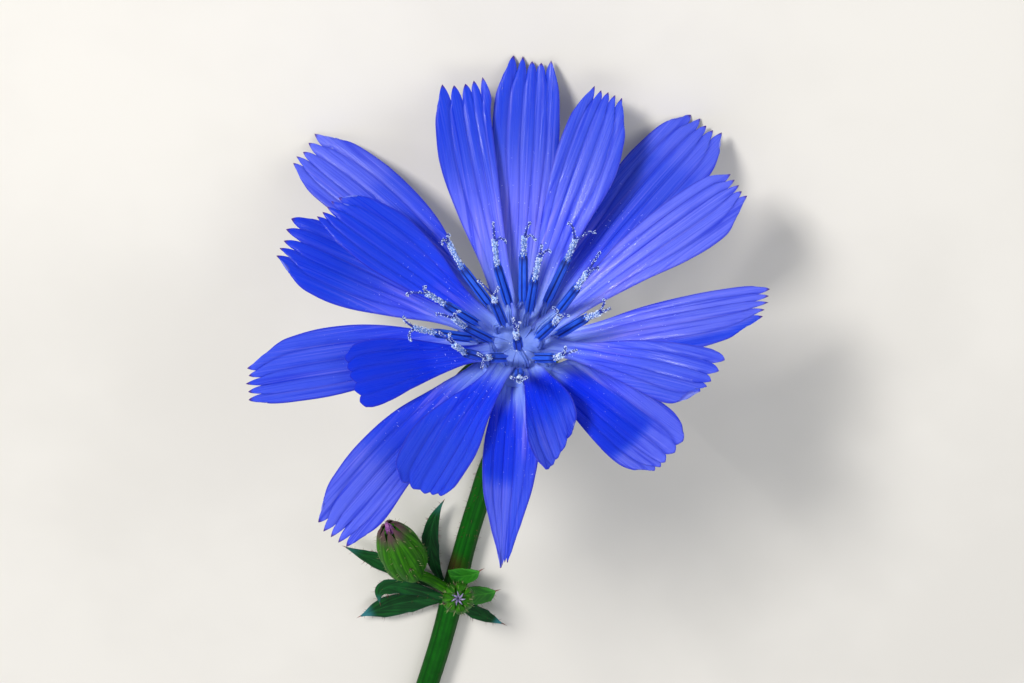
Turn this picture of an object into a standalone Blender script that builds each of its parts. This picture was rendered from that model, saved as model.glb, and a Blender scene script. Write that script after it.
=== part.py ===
"""Chicory flower, cut with a length of its stem and laid on a table.

The tables below are in millimetres and degrees.  Places are given as the
flower is looked at: x right, y up the picture, z toward the viewer, from the
throat of the head.  The meshes are in metres, with the table at z = 0.
"""

import math
from collections import namedtuple

import bmesh
import bpy
from mathutils import Matrix, Vector

MM = 0.001
# Corners closer than this melt together
MELT = 0.002

# How it lies and how it is looked at
VIEW_TILT = 31.0
VIEW_DISTANCE = 228.0
VIEW_CENTRE = (-0.4, 0.7)
THROAT_HEIGHT = 11.8
HEAD_TILT = 20.0

# Blades of the florets
BLADE_THICKNESS = 0.6
BLADE_ACROSS = 10
BLADE_ROWS = 9
CLAW_ROWS = 3
CLAW_HALF_WIDTH = 0.35
RIDGE_HEIGHT = 0.16
FULL_HALF_WIDTH = 2.0
TOOTH_LENGTH = 0.75
TOOTH_SHARE = 0.45
STATIONS = (0.3, 0.5, 0.7, 0.85, 0.95, 1.0)
# The claw rises straight, bends, and widens; a cubic's middle takes three
# quarters of its handles' offset; rows lie closer toward the tip
CLAW_RISE = 0.8
CLAW_BEND = 0.5
CLAW_WIDENING = 0.2
HANDLE_SHARE = 0.75
ROW_CROWDING = 0.12
CURL_FROM = 0.5
AIM_ROUNDS = 30
FRAME_STEP = 0.05

# Where the two rings of florets stand on the receptacle: the claw's distance
# from the axis, then the distance and height at which it bends outward
CLAW_FOOT = -0.6
Ring = namedtuple("Ring", "claw exit_out exit_up")
OUTER = Ring(2.75, 3.4, 0.35)
INNER = Ring(1.85, 2.4, 1.35)

# azimuth and reach are as seen in the picture, slot is round the head's axis,
# cone is the blade's rise over the plane square to the axis, arch is how far it
# bows up, curl how far its end bends down, cup how far its edges stand up, and
# slant how far its end is cut aslant; left and right are half widths at STATIONS
Floret = namedtuple(
    "Floret",
    "number ring slot azimuth reach cone arch curl cup slant left right",
)
FLORETS = (
    Floret(1, OUTER, 88, 87, 23.2, 23.3, 0.5, 0.0, 0.3, 0.2,
           (1.3, 2.0, 2.8, 2.8, 2.3, 1.9), (1.3, 2.0, 2.5, 2.4, 2.2, 1.9)),
    Floret(2, INNER, 69, 70.5, 21.7, 20.5, 0.8, 0.0, 0.3, 0.1,
           (0.9, 1.7, 2.2, 2.2, 1.9, 1.5), (1.2, 2.1, 2.9, 2.6, 2.0, 1.5)),
    Floret(3, OUTER, 49, 51.6, 24.65, 6.0, 0.9, 0.0, 0.3, 0.0,
           (1.3, 2.2, 3.1, 3.0, 2.6, 1.9), (1.3, 2.1, 3.0, 3.1, 2.5, 1.7)),
    Floret(4, INNER, 30, 36.6, 21.7, 18.0, 0.8, 0.0, 0.3, -0.1,
           (1.0, 1.8, 2.2, 2.2, 2.0, 1.4), (1.1, 1.9, 2.8, 2.9, 2.1, 1.4)),
    Floret(5, OUTER, 8, 10.8, 19.9, 16.0, 0.6, 0.0, 0.3, 0.7,
           (0.9, 1.4, 1.6, 1.6, 1.5, 1.3), (1.3, 2.3, 2.9, 2.6, 2.0, 1.4)),
    Floret(6, INNER, 353, -9, 15.2, 20.0, 0.8, 0.0, 0.4, 0.6,
           (0.8, 1.4, 2.0, 2.4, 2.5, 2.4), (0.6, 1.5, 2.4, 2.9, 2.5, 1.4)),
    Floret(7, OUTER, 322, -37, 14.4, 18.0, 0.5, 0.8, 0.6, 0.0,
           (1.6, 2.4, 3.1, 3.4, 3.1, 2.6), (0.9, 1.8, 2.4, 2.6, 2.2, 1.4)),
    Floret(8, INNER, 291, -69, 8.8, 24.0, 0.4, 1.0, 1.3, -1.8,
           (1.2, 2.0, 2.4, 2.4, 2.2, 1.9), (0.5, 1.0, 1.6, 1.9, 1.7, 1.3)),
    Floret(9, OUTER, 265, -94, 16.3, 18.0, 0.6, 0.3, 1.0, 0.0,
           (1.4, 2.3, 2.0, 1.1, 0.5, 0.15), (1.5, 2.0, 1.8, 1.0, 0.3, 0.1)),
    Floret(10, INNER, 240, -123, 13.0, 20.0, 0.6, 0.8, 0.7, -0.4,
           (0.9, 1.3, 1.9, 1.9, 1.8, 1.5), (1.1, 2.3, 3.3, 3.3, 3.0, 2.3)),
    Floret(11, OUTER, 215, -135, 20.0, 15.0, 0.6, 0.0, 0.4, 0.1,
           (1.2, 1.7, 2.0, 2.4, 2.1, 1.8), (1.6, 2.8, 3.2, 2.9, 2.3, 1.8)),
    Floret(12, INNER, 201, -171, 13.2, 18.0, 0.6, 0.5, 0.5, -0.1,
           (0.6, 1.2, 2.1, 2.8, 3.0, 2.9), (0.9, 1.6, 2.3, 2.6, 2.4, 1.8)),
    Floret(13, OUTER, 187, -173, 21.2, 12.0, 0.7, 0.0, 0.4, 0.3,
           (1.2, 1.7, 2.3, 2.3, 2.1, 1.8), (2.1, 3.1, 3.4, 3.0, 2.1, 1.5)),
    Floret(14, OUTER, 154, 155, 20.5, 12.0, 0.6, 0.0, 0.3, -0.2,
           (0.9, 2.2, 3.2, 3.2, 2.5, 1.8), (0.8, 1.4, 2.3, 2.7, 2.6, 2.4)),
    Floret(15, INNER, 146, 143, 18.7, 17.0, 0.7, 0.0, 0.3, 0.2,
           (1.0, 1.8, 2.3, 2.1, 1.8, 1.4), (1.1, 2.3, 3.0, 2.7, 2.2, 1.4)),
    Floret(16, OUTER, 130, 134.8, 24.7, 1.5, 1.1, 0.0, 0.3, -0.4,
           (0.8, 1.5, 2.4, 2.5, 2.1, 1.6), (1.4, 2.9, 3.4, 3.2, 2.7, 2.2)),
    Floret(17, INNER, 107, 101, 21.7, 21.6, 0.8, 0.0, 0.3, 0.0,
           (1.4, 2.5, 3.2, 3.0, 2.6, 2.3), (0.8, 1.0, 1.3, 1.5, 1.8, 1.8)),
)
# These two bend down at their ends until they touch the table
RESTING_FLORETS = (3, 16)

# Anther columns: azimuth, distance and height of the foot round the head's
# axis, then tube's lower end, tube's upper end, style's end and its two
# branches' tips as seen
TUBE_LENGTH = 4.2
STYLE_LENGTH = 2.8
BRANCH_LENGTH = 1.5
TUBE_BASE_UP = 3.5
FILAMENT_RADIUS = 0.22
TUBE_RADIUS = 0.42
STYLE_RADIUS = 0.24
BRANCH_RADIUS = 0.2
# The filament's knee as shares of the way from its foot, the tube's shoulder
# and collar, how far style and branches lean on toward the viewer, and where
# the second branch leaves the first
KNEE_OUT = 0.2
KNEE_UP = 0.65
TUBE_SHOULDER = 0.25
TUBE_COLLAR = 0.2
STYLE_LEAN = 0.8
BRANCH_LEAN = 0.5
LEAST_RISE = 0.2
BRANCH_ROOT = 0.12
TIP_TAPER = 0.6
ROOT_TAPER = 0.8
Column = namedtuple("Column", "floret foot base top fork tip_a tip_b")
OUTER_FOOT = (3.8, 1.35)
INNER_FOOT = (2.6, 2.35)
COLUMNS = (
    Column(1, (88.5, *OUTER_FOOT), (0.5, 4.0), (0.5, 7.6), (0.6, 9.1), (1.0, 10.2), (1.4, 9.0)),
    Column(2, (69, *INNER_FOOT), (1.0, 3.2), (1.4, 5.7), (1.8, 7.5), (2.0, 8.4), (2.6, 8.0)),
    Column(3, (49, *OUTER_FOOT), (2.4, 3.9), (4.0, 7.2), (4.7, 8.9), (4.2, 10.2), (6.2, 9.5)),
    Column(4, (30, *INNER_FOOT), (3.4, 3.2), (4.8, 5.0), (5.6, 6.2), (6.6, 7.8), (6.5, 6.6)),
    Column(5, (13, *OUTER_FOOT), (3.4, 1.3), (5.6, 2.6), (6.6, 3.0), (7.0, 4.0), (7.4, 3.3)),
    Column(6, (353, *INNER_FOOT), (1.8, 1.1), (3.0, 2.2), (3.4, 2.7), (3.0, 3.4), (4.1, 2.8)),
    Column(7, (328, *OUTER_FOOT), (1.6, -0.6), (3.1, -0.6), (3.6, -0.4), (4.7, 0.0), (3.9, 0.2)),
    Column(8, (291, *INNER_FOOT), (0.1, 0.3), (0.0, 1.0), (-0.1, 1.5), (-0.3, 2.5), (0.2, 2.2)),
    Column(9, (268, 3.3, 1.25), (0.2, -1.8), (0.2, -2.2), (0.2, -2.4), (-0.4, -2.2), (0.7, -2.2)),
    Column(10, (240, *INNER_FOOT), (-1.1, -0.6), (-2.2, -0.6), (-2.5, -0.6), (-3.1, -0.3), (-2.8, -1.3)),
    Column(11, (219.5, *OUTER_FOOT), (-3.0, -0.5), (-4.2, -0.2), (-5.1, 0.5), (-6.2, 1.4), (-5.4, 1.3)),
    Column(12, (199, *INNER_FOOT), (-2.2, 0.9), (-4.2, 1.9), (-5.1, 2.6), (-6.4, 2.9), (-4.7, 3.1)),
    Column(13, (176.5, *OUTER_FOOT), (-3.8, 1.0), (-6.6, 1.4), (-8.3, 1.8), (-9.1, 2.6), (-8.6, 0.9)),
    Column(14, (166, *OUTER_FOOT), (-3.3, 2.2), (-5.8, 3.7), (-7.3, 4.6), (-8.8, 4.5), (-7.4, 5.1)),
    Column(15, (146, *INNER_FOOT), (-1.1, 2.2), (-1.8, 3.9), (-1.8, 4.3), (-3.0, 5.5), (-1.5, 5.0)),
    Column(16, (125, *OUTER_FOOT), (-2.3, 3.8), (-4.4, 6.6), (-5.5, 8.7), (-6.0, 8.7), (-5.5, 9.3)),
    Column(17, (107, *INNER_FOOT), (-0.7, 3.8), (-1.6, 6.8), (-1.8, 8.8), (-1.9, 10.2), (-1.0, 8.8)),
)

# The pale middle of the head, between the inner claws
RECEPTACLE_OUTLINE = (
    (0.0, 1.1), (0.7, 0.95), (1.05, 0.5), (1.15, -0.1), (1.15, -0.65), (0.0, -0.65),
)
RECEPTACLE_SIDES = 16

# Involucre: the core's outline as distance from the axis and height, and its
# two rings of bracts
CORE_OUTLINE = (
    (0.0, -1.0), (3.0, -1.0), (3.2, -1.6), (3.0, -3.5), (2.95, -6.0),
    (3.0, -8.5), (2.65, -10.2), (1.5, -11.0), (0.0, -11.05),
)
CORE_SIDES = 16
CORE_RIB = 0.12
CORE_AXIS = 0.5
INNER_BRACTS = 8
INNER_BRACT_PATH = ((2.6, -4.6), (2.95, -3.2), (3.4, -2.0), (4.5, -1.25), (6.3, -0.85))
INNER_BRACT_HALF = (0.8, 1.15, 1.1, 0.9, 0.12)
INNER_BRACT_FIRST = 22.5
INNER_BRACT_ROWS = 6
OUTER_BRACTS = 5
OUTER_BRACT_PATH = ((2.2, -10.3), (3.3, -9.4), (3.8, -7.5), (4.2, -5.8), (5.0, -4.3))
OUTER_BRACT_HALF = (0.9, 1.5, 1.4, 1.0, 0.15)
OUTER_BRACT_FIRST = 54.0
OUTER_BRACT_ROWS = 5
BRACT_THICKNESS = 0.6
BRACT_KEEL = 0.15
BRACT_KEEL_RISE = 0.3
BRACT_LEAST_BEND = 2.2
BRACT_ACROSS = 2

# Stem: it leaves the head along its axis and bends down to lie on the table
STEM_RADIUS = 0.95
STEM_HEIGHT = 0.89
STEM_SIDES = 4
STEM_TOUCHDOWN = (-3.05, -21.0)
STEM_SLOPE = 0.24
STEM_END = -75.0
STEM_NODE = -31.0
STEM_NODE_SWELLING = 0.12
STEM_LOWER_GAIN = 0.07
# The neck starts below the cup and is a little thicker; its curve's handles;
# the slight wave of the lying part; how long the node's swelling and the
# lower part's gain are
STEM_NECK_GAP = 0.35
STEM_NECK_GAIN = 0.08
STEM_NECK_HANDLE = 5.5
STEM_LYING_HANDLE = 5.0
STEM_BEND_STEPS = 8
STEM_LYING_STEPS = 16
STEM_WAVE = 0.12
STEM_WAVE_TURN = 0.3
STEM_NODE_SPREAD = 2.5
STEM_GAIN_START = 2.0
STEM_GAIN_LENGTH = 6.0

# The block under the table that flattens the stem, in metres
CUTTER_SIZE = (0.1, 0.2, 0.02)
CUTTER_MIDDLE = -0.04

# Leaves and bracts at the stem's node: three places as seen, each with its
# height over the table, half the width and teeth on each edge
Leaf = namedtuple("Leaf", "name root middle tip half teeth")
LEAVES = (
    Leaf("leaf_up", (-6.3, -18.0, 1.4), (-7.0, -15.0, 1.1), (-5.9, -12.1, 1.6), 0.75, 1),
    Leaf("leaf_left", (-6.45, -18.8, 0.8), (-10.4, -17.2, 0.85), (-13.7, -15.8, 1.3), 0.85, 2),
    Leaf("leaf_low_left", (-6.6, -19.9, 0.8), (-9.8, -20.4, 0.9), (-12.5, -21.3, 0.9), 1.2, 2),
    Leaf("leaf_hooked", (-6.4, -19.65, 1.75), (-10.2, -18.9, 2.0), (-11.0, -20.2, 2.0), 0.65, 2),
    Leaf("bract_upper_right", (-4.95, -18.1, 2.55), (-4.0, -18.1, 3.1), (-3.0, -17.7, 3.3), 0.5, 1),
    Leaf("bract_right", (-3.75, -19.7, 1.1), (-2.8, -19.6, 1.3), (-1.7, -19.3, 1.6), 0.65, 2),
    Leaf("bract_low_right", (-4.1, -20.7, 0.9), (-2.8, -21.2, 1.1), (-1.2, -21.9, 1.2), 0.65, 2),
)
LEAF_THICKNESS = 0.6
LEAF_ACROSS = 4
LEAF_ROWS = 9
LEAF_KEEL = 0.15
LEAF_TOOTH = 1.18
LEAF_NOTCH = 0.9
LEAF_EDGE = 0.9
LEAF_STEP = 0.02
LEAF_OUTLINE = ((0.0, 0.4), (0.25, 0.85), (0.5, 1.0), (0.75, 0.7), (1.0, 0.1))

# Buds: root and tip as seen with their heights, the outline as a share of the
# length and a radius, the number of bracts, how far a bract's tip stands up
# and leans in, the furled petals' radius, and where its stalk meets the stem
Bud = namedtuple("Bud", "name root tip outline bracts point lean petals stalk")
BUDS = (
    Bud("bud_large", (-8.4, -17.8, 3.2), (-10.3, -14.2, 6.0),
        ((0.0, 0.7), (0.06, 1.25), (0.2, 1.75), (0.42, 2.0), (0.62, 1.85), (0.8, 1.45), (0.9, 1.15)),
        8, 0.9, 0.15, 0.35, (-5.85, -19.0, 2.35)),
    Bud("bud_small", (-4.7, -19.9, 2.6), (-4.7, -19.9, 6.0),
        ((0.0, 0.6), (0.1, 0.95), (0.3, 1.3), (0.6, 1.35), (0.85, 1.15)),
        7, 0.55, -0.15, 0.4, None),
)
STALK_RADIUS = 0.45
BUD_RIB = 0.3
BUD_WALL = 0.45
BUD_FLOOR_DEPTH = 0.5
BUD_FLOOR_INSET = 0.05
BUD_AXIS = 0.5
BUD_FULL_RIB = 1.5
BUD_POINT_FURROW = 0.5
# The furled petals' outline as radii over their own and heights over their foot
FURL_GAP = 0.3
FURL_OUTLINE = ((0.6, 1.3), (1.0, 0.7), (0.8, 0.0))
FURL_POINT = 1.5
FURL_SIDES = 8
STALK_INSIDE = 0.2
STALK_BEND = 0.45
STALK_SAG = 0.25
STALK_FLARE = 1.1

# Colours of the pieces
PETAL_BLUE = (0.09, 0.12, 0.80)
ANTHER_BLUE = (0.01, 0.07, 0.38)
INVOLUCRE_GREEN = (0.05, 0.17, 0.03)
RECEPTACLE_PALE = (0.45, 0.55, 0.80)
STEM_GREEN = (0.05, 0.15, 0.03)
LEAF_GREEN = (0.02, 0.10, 0.05)
BUD_GREEN = (0.08, 0.24, 0.03)
BUD_PURPLE = (0.45, 0.25, 0.55)
PETAL_ROUGHNESS = 0.55
ANTHER_ROUGHNESS = 0.5
GREEN_ROUGHNESS = 0.6

HEAD_TURN = Matrix.Rotation(math.radians(-HEAD_TILT), 3, "X")
TABLE_TURN = Matrix.Rotation(math.radians(-VIEW_TILT), 3, "X")


def to_world(place):
    """A place as looked at, in millimetres, over the table."""
    return TABLE_TURN @ Vector(place) + Vector((0.0, 0.0, THROAT_HEIGHT))


def head_to_world(place):
    """A place round the head's axis, in millimetres, over the table."""
    return to_world(HEAD_TURN @ Vector(place))


def seen(x, y, z):
    """The place at depth z that shows where (x, y) shows at the throat."""
    near = 1.0 - z / VIEW_DISTANCE
    cx, cy = VIEW_CENTRE
    return Vector((cx + (x - cx) * near, cy + (y - cy) * near, z))


def laid(x, y, height):
    """The place at a height over the table that shows at (x, y)."""
    tilt = math.radians(VIEW_TILT)
    down = math.sin(tilt)
    fall = math.cos(tilt) + down * (y - VIEW_CENTRE[1]) / VIEW_DISTANCE
    depth = (height - THROAT_HEIGHT + down * y) / fall
    return to_world(seen(x, y, depth))


def blend(stations, values, at):
    """A smooth value between stations, level at the two ends."""
    if at <= stations[0]:
        return values[0]
    for index in range(1, len(stations)):
        if at <= stations[index]:
            span = stations[index] - stations[index - 1]
            share = (at - stations[index - 1]) / span
            before = values[max(index - 2, 0)]
            start, end = values[index - 1], values[index]
            after = values[min(index + 1, len(values) - 1)]
            rise = 0.5 * (end - before)
            fall = 0.5 * (after - start)
            cube = share ** 3
            square = share ** 2
            return (
                (2 * cube - 3 * square + 1) * start
                + (cube - 2 * square + share) * rise
                + (3 * square - 2 * cube) * end
                + (cube - square) * fall
            )
    return values[-1]


def bezier(points, share):
    """A place on the cubic Bezier curve with four control points."""
    rest = 1.0 - share
    a, b, c, d = points
    return a * rest ** 3 + b * 3 * rest ** 2 * share + c * 3 * rest * share ** 2 + d * share ** 3


def paint(name, colour, roughness):
    """A plain material of the given colour."""
    made = bpy.data.materials.get(name)
    if made is None:
        made = bpy.data.materials.new(name)
        made.use_nodes = True
        shader = made.node_tree.nodes["Principled BSDF"]
        shader.inputs["Base Color"].default_value = (*colour, 1.0)
        shader.inputs["Roughness"].default_value = roughness
        shader.inputs["Metallic"].default_value = 0.0
    return made


def add_object(name, mesh, collection):
    """A new object for a mesh, smooth shaded."""
    for face in mesh.polygons:
        face.use_smooth = True
    made = bpy.data.objects.new(name, mesh)
    collection.objects.link(made)
    return made


def baked(source, name, collection):
    """The object's shape with its modifiers or bevel applied, closed, as a mesh object."""
    bpy.context.view_layer.update()
    graph = bpy.context.evaluated_depsgraph_get()
    mesh = bpy.data.meshes.new_from_object(source.evaluated_get(graph))
    mesh.transform(source.matrix_world)
    shape = bmesh.new()
    shape.from_mesh(mesh)
    bmesh.ops.remove_doubles(shape, verts=shape.verts, dist=MELT * MM)
    shape.to_mesh(mesh)
    shape.free()
    mesh.name = name
    bpy.data.objects.remove(source)
    return add_object(name, mesh, collection)


def fused(base, others, collection):
    """The base joined with the others in one Boolean, applied."""
    name = base.name
    extra = bpy.data.collections.new(name + "_extra")
    bpy.context.scene.collection.children.link(extra)
    for other in others:
        collection.objects.unlink(other)
        extra.objects.link(other)
    join = base.modifiers.new("join", "BOOLEAN")
    join.operation = "UNION"
    join.operand_type = "COLLECTION"
    join.collection = extra
    join.solver = "EXACT"
    base.name = name + "_base"
    made = baked(base, name, collection)
    for other in others:
        bpy.data.objects.remove(other)
    bpy.data.collections.remove(extra)
    return made


def sheet(name, across, rows, place, thickness, collection):
    """A thin blade: a grid bent by place(u, row), split in triangles and thickened."""
    shape = bmesh.new()
    bmesh.ops.create_grid(shape, x_segments=across, y_segments=rows, size=0.5)
    for vert in shape.verts:
        u = vert.co.x + 0.5
        row = round((vert.co.y + 0.5) * rows)
        vert.co = place(u, row) * MM
    bmesh.ops.triangulate(shape, faces=shape.faces, quad_method="FIXED")
    mesh = bpy.data.meshes.new(name)
    shape.to_mesh(mesh)
    shape.free()
    made = add_object(name, mesh, collection)
    solid = made.modifiers.new("thickness", "SOLIDIFY")
    solid.thickness = thickness * MM
    solid.offset = 0.0
    return made


def tube(name, path, radii, sides, collection):
    """A round tube along a path with a radius at each place, its ends closed."""
    curve = bpy.data.curves.new(name, "CURVE")
    curve.dimensions = "3D"
    curve.bevel_depth = MM
    curve.bevel_resolution = sides
    curve.use_fill_caps = True
    line = curve.splines.new("POLY")
    line.points.add(len(path) - 1)
    for point, place, radius in zip(line.points, path, radii):
        point.co = (*(place * MM), 1.0)
        point.radius = radius
    made = bpy.data.objects.new(name + "_curve", curve)
    collection.objects.link(made)
    return baked(made, name, collection)


def turned(name, outline, steps, collection):
    """A solid turned round the Z axis from an outline that starts and ends on it."""
    shape = bmesh.new()
    last = None
    for out, up in outline:
        vert = shape.verts.new((out * MM, 0.0, up * MM))
        if last is not None:
            shape.edges.new((last, vert))
        last = vert
    mesh = bpy.data.meshes.new(name)
    shape.to_mesh(mesh)
    shape.free()
    made = bpy.data.objects.new(name + "_outline", mesh)
    collection.objects.link(made)
    screw = made.modifiers.new("turn", "SCREW")
    screw.steps = steps
    screw.render_steps = steps
    screw.use_merge_vertices = True
    screw.merge_threshold = MELT * MM
    return baked(made, name, collection)


def pleat(made, depth, ribs):
    """Presses furrows between evenly spaced ribs into a turned solid's side."""
    for vert in made.data.vertices:
        out = math.hypot(vert.co.x, vert.co.y)
        if out > CORE_AXIS * MM:
            azimuth = math.atan2(vert.co.y, vert.co.x)
            press = depth * MM * 0.5 * (1 + math.cos(ribs * azimuth))
            vert.co.x *= (out - press) / out
            vert.co.y *= (out - press) / out


def bract_strip(name, path, halves, azimuth, rows, collection):
    """A keeled strip that follows a path beside the Z axis."""
    stations = [index / (len(path) - 1) for index in range(len(path))]
    turn = Matrix.Rotation(math.radians(azimuth), 3, "Z")

    def place(u, row):
        share = row / rows
        out = blend(stations, [point[0] for point in path], share)
        up = blend(stations, [point[1] for point in path], share)
        half = blend(stations, halves, share)
        aside = (2 * u - 1) * half
        keel = BRACT_KEEL * (1 - abs(2 * u - 1)) * min(half, 1.0)
        flat = Vector((out, 0.0, up)) + Vector((keel, 0.0, keel * BRACT_KEEL_RISE))
        bend = aside / max(out, BRACT_LEAST_BEND)
        return turn @ Vector((flat.x * math.cos(bend), flat.x * math.sin(bend), flat.z))

    return sheet(name, BRACT_ACROSS, rows, place, BRACT_THICKNESS, collection)


def floret_tip(row):
    """The blade's end round the head's axis, from where it shows and its cone."""
    angle = math.radians(row.azimuth)
    tilt = math.radians(HEAD_TILT)
    x = row.reach * math.cos(angle)
    y = row.reach * math.sin(angle)
    depth = 0.0
    for _ in range(AIM_ROUNDS):
        level = y * math.cos(tilt) - depth * math.sin(tilt)
        out = math.hypot(x, level)
        up = row.ring.exit_up + (out - row.ring.exit_out) * math.tan(math.radians(row.cone))
        depth = (up - y * math.sin(tilt)) / math.cos(tilt)
    return Vector((x, level, up))


def blade_share(index):
    """How far along the blade a row is."""
    share = max(0.0, index - CLAW_ROWS) / BLADE_ROWS
    return share * (1 + ROW_CROWDING - ROW_CROWDING * share)


def floret_rows(row):
    """Centre, side, face and forward directions and share of each row, round the head's axis."""
    slot = math.radians(row.slot)
    outward = Vector((math.cos(slot), math.sin(slot), 0.0))
    axis = Vector((0.0, 0.0, 1.0))
    foot = outward * row.ring.claw + axis * CLAW_FOOT
    start = outward * row.ring.exit_out + axis * row.ring.exit_up
    tip = floret_tip(row) - axis * row.curl
    chord = tip - start
    bulge = axis * row.arch / HANDLE_SHARE
    blade = (start, start + chord / 3 + bulge, start + chord * 2 / 3 + bulge, tip)
    leaving = (blade[1] - blade[0]).normalized()
    claw = (foot, foot + axis * CLAW_RISE, start - leaving * CLAW_BEND, start)

    def centre(at):
        if at < CLAW_ROWS:
            return bezier(claw, at / CLAW_ROWS)
        share = blade_share(at)
        lift = row.curl * max(0.0, (share - CURL_FROM) / (1 - CURL_FROM)) ** 2
        return bezier(blade, share) + axis * lift

    made = []
    last = CLAW_ROWS + BLADE_ROWS
    for index in range(last + 1):
        before = centre(max(index - FRAME_STEP, 0.0))
        after = centre(min(index + FRAME_STEP, last))
        tangent = (after - before).normalized()
        level = Vector((tangent.x, tangent.y, 0.0))
        mix = min(index / CLAW_ROWS, 1.0)
        facing = outward * (1 - mix) + level * mix
        side = axis.cross(facing)
        side = (side - tangent * side.dot(tangent)).normalized()
        face = tangent.cross(side)
        made.append((centre(index), side, face, tangent, blade_share(index)))
    return made


def make_floret(row, collection):
    """One floret: a narrow claw that opens to a blade with five teeth."""
    frames = floret_rows(row)
    last = len(frames) - 1
    inner = row.ring.exit_out / row.reach
    stations = (inner, *STATIONS)
    spacing = (frames[-1][0] - frames[-2][0]).length

    def place(u, index):
        centre, side, face, tangent, share = frames[index]
        across = 1 - 2 * u
        if index <= CLAW_ROWS:
            half = CLAW_HALF_WIDTH * (1 + CLAW_WIDENING * index / CLAW_ROWS)
            return centre + side * (across * half)
        at = inner + share * (1 - inner)
        halves = row.left if across > 0 else row.right
        half = blend(stations, (CLAW_HALF_WIDTH * (1 + CLAW_WIDENING), *halves), at)
        body = min(1.0, half / FULL_HALF_WIDTH)
        column = round(u * BLADE_ACROSS)
        ridge = RIDGE_HEIGHT * body ** 2 * (column % 2)
        hollow = row.cup * across ** 2 * body ** 2 * min(1.0, 2 * share)
        point = centre + side * (across * half) + face * (ridge + hollow)
        point += tangent * (row.slant * across * share * share)
        if index == last:
            tooth = 0.0 if column % 2 else -min(TOOTH_LENGTH, TOOTH_SHARE * spacing)
            point += tangent * (tooth * body)
        return point

    return sheet(
        "floret_%02d" % row.number,
        BLADE_ACROSS,
        last,
        lambda u, index: head_to_world(place(u, index)),
        BLADE_THICKNESS,
        collection,
    )


def settle(floret):
    """Bends a floret's outer half down or up until its lowest place touches the table."""
    bpy.context.view_layer.update()
    graph = bpy.context.evaluated_depsgraph_get()
    solid = floret.evaluated_get(graph).to_mesh()
    lowest = min(vert.co.z for vert in solid.vertices)
    throat = to_world((0.0, 0.0, 0.0)) * MM
    reach = max((vert.co - throat).length for vert in floret.data.vertices)
    for vert in floret.data.vertices:
        share = (vert.co - throat).length / reach
        vert.co.z -= lowest * share ** 2
    floret.evaluated_get(graph).to_mesh_clear()


def step_toward(start, x, y, length, away):
    """A place a set length from start that shows at (x, y), nearer the viewer or round to away."""
    ahead = seen(x, y, start.z)
    flat = Vector((ahead.x - start.x, ahead.y - start.y))
    rise = math.sqrt(max(length ** 2 - flat.length ** 2, LEAST_RISE ** 2))
    return seen(x, y, start.z + away * rise)


def make_column(row, collection):
    """One anther column: a filament, the dark tube, the style and its two branches."""
    azimuth, out, up = row.foot
    angle = math.radians(azimuth)
    foot = HEAD_TURN @ Vector((out * math.cos(angle), out * math.sin(angle), up))
    tilt = math.radians(HEAD_TILT)
    depth = (TUBE_BASE_UP - row.base[1] * math.sin(tilt)) / math.cos(tilt)
    base = seen(*row.base, depth)
    top = step_toward(base, *row.top, TUBE_LENGTH, 1)
    fork = step_toward(top, *row.fork, STYLE_LENGTH, STYLE_LEAN)
    tip_a = step_toward(fork, *row.tip_a, BRANCH_LENGTH, BRANCH_LEAN)
    tip_b = step_toward(fork, *row.tip_b, BRANCH_LENGTH, BRANCH_LEAN)
    along = (top - base).normalized()
    shift = HEAD_TURN.transposed() @ (base - foot)
    knee_shift = Vector((shift.x * KNEE_OUT, shift.y * KNEE_OUT, shift.z * KNEE_UP))
    knee = foot + HEAD_TURN @ knee_shift
    path = [
        foot, knee, base, base + along * TUBE_SHOULDER, base.lerp(top, 0.5),
        top - along * TUBE_COLLAR, top, fork, tip_a,
    ]
    radii = [
        FILAMENT_RADIUS, FILAMENT_RADIUS, FILAMENT_RADIUS, TUBE_RADIUS, TUBE_RADIUS,
        TUBE_RADIUS, STYLE_RADIUS, STYLE_RADIUS, BRANCH_RADIUS * TIP_TAPER,
    ]
    name = "column_%02d" % row.floret
    main = tube(name, [to_world(place) for place in path], radii, 1, collection)
    root = fork.lerp(top, BRANCH_ROOT)
    branch = tube(
        name + "_branch",
        [to_world(root), to_world(tip_b)],
        [BRANCH_RADIUS * ROOT_TAPER, BRANCH_RADIUS * TIP_TAPER],
        1,
        collection,
    )
    return fused(main, [branch], collection)


def make_involucre(collection):
    """The green cup: a turned core with its bracts fused on."""
    core = turned("involucre", CORE_OUTLINE, CORE_SIDES, collection)
    pleat(core, CORE_RIB, INNER_BRACTS)
    inner = (INNER_BRACTS, INNER_BRACT_FIRST, INNER_BRACT_PATH, INNER_BRACT_HALF, INNER_BRACT_ROWS)
    outer = (OUTER_BRACTS, OUTER_BRACT_FIRST, OUTER_BRACT_PATH, OUTER_BRACT_HALF, OUTER_BRACT_ROWS)
    strips = []
    for count, first, path, halves, rows in (inner, outer):
        for index in range(count):
            azimuth = first + 360.0 * index / count
            strip = bract_strip("bract", path, halves, azimuth, rows, collection)
            strips.append(baked(strip, "bract_mesh", collection))
    made = fused(core, strips, collection)
    made.data.transform(head_matrix())
    return made


def make_receptacle(collection):
    """The pale boss that the inner florets stand round."""
    made = turned("receptacle", RECEPTACLE_OUTLINE, RECEPTACLE_SIDES, collection)
    made.data.transform(head_matrix())
    return made


def head_matrix():
    """Turns and moves a shape from the head's axis to the table, in metres."""
    turn = (TABLE_TURN @ HEAD_TURN).to_4x4()
    return Matrix.Translation((0.0, 0.0, THROAT_HEIGHT * MM)) @ turn


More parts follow.
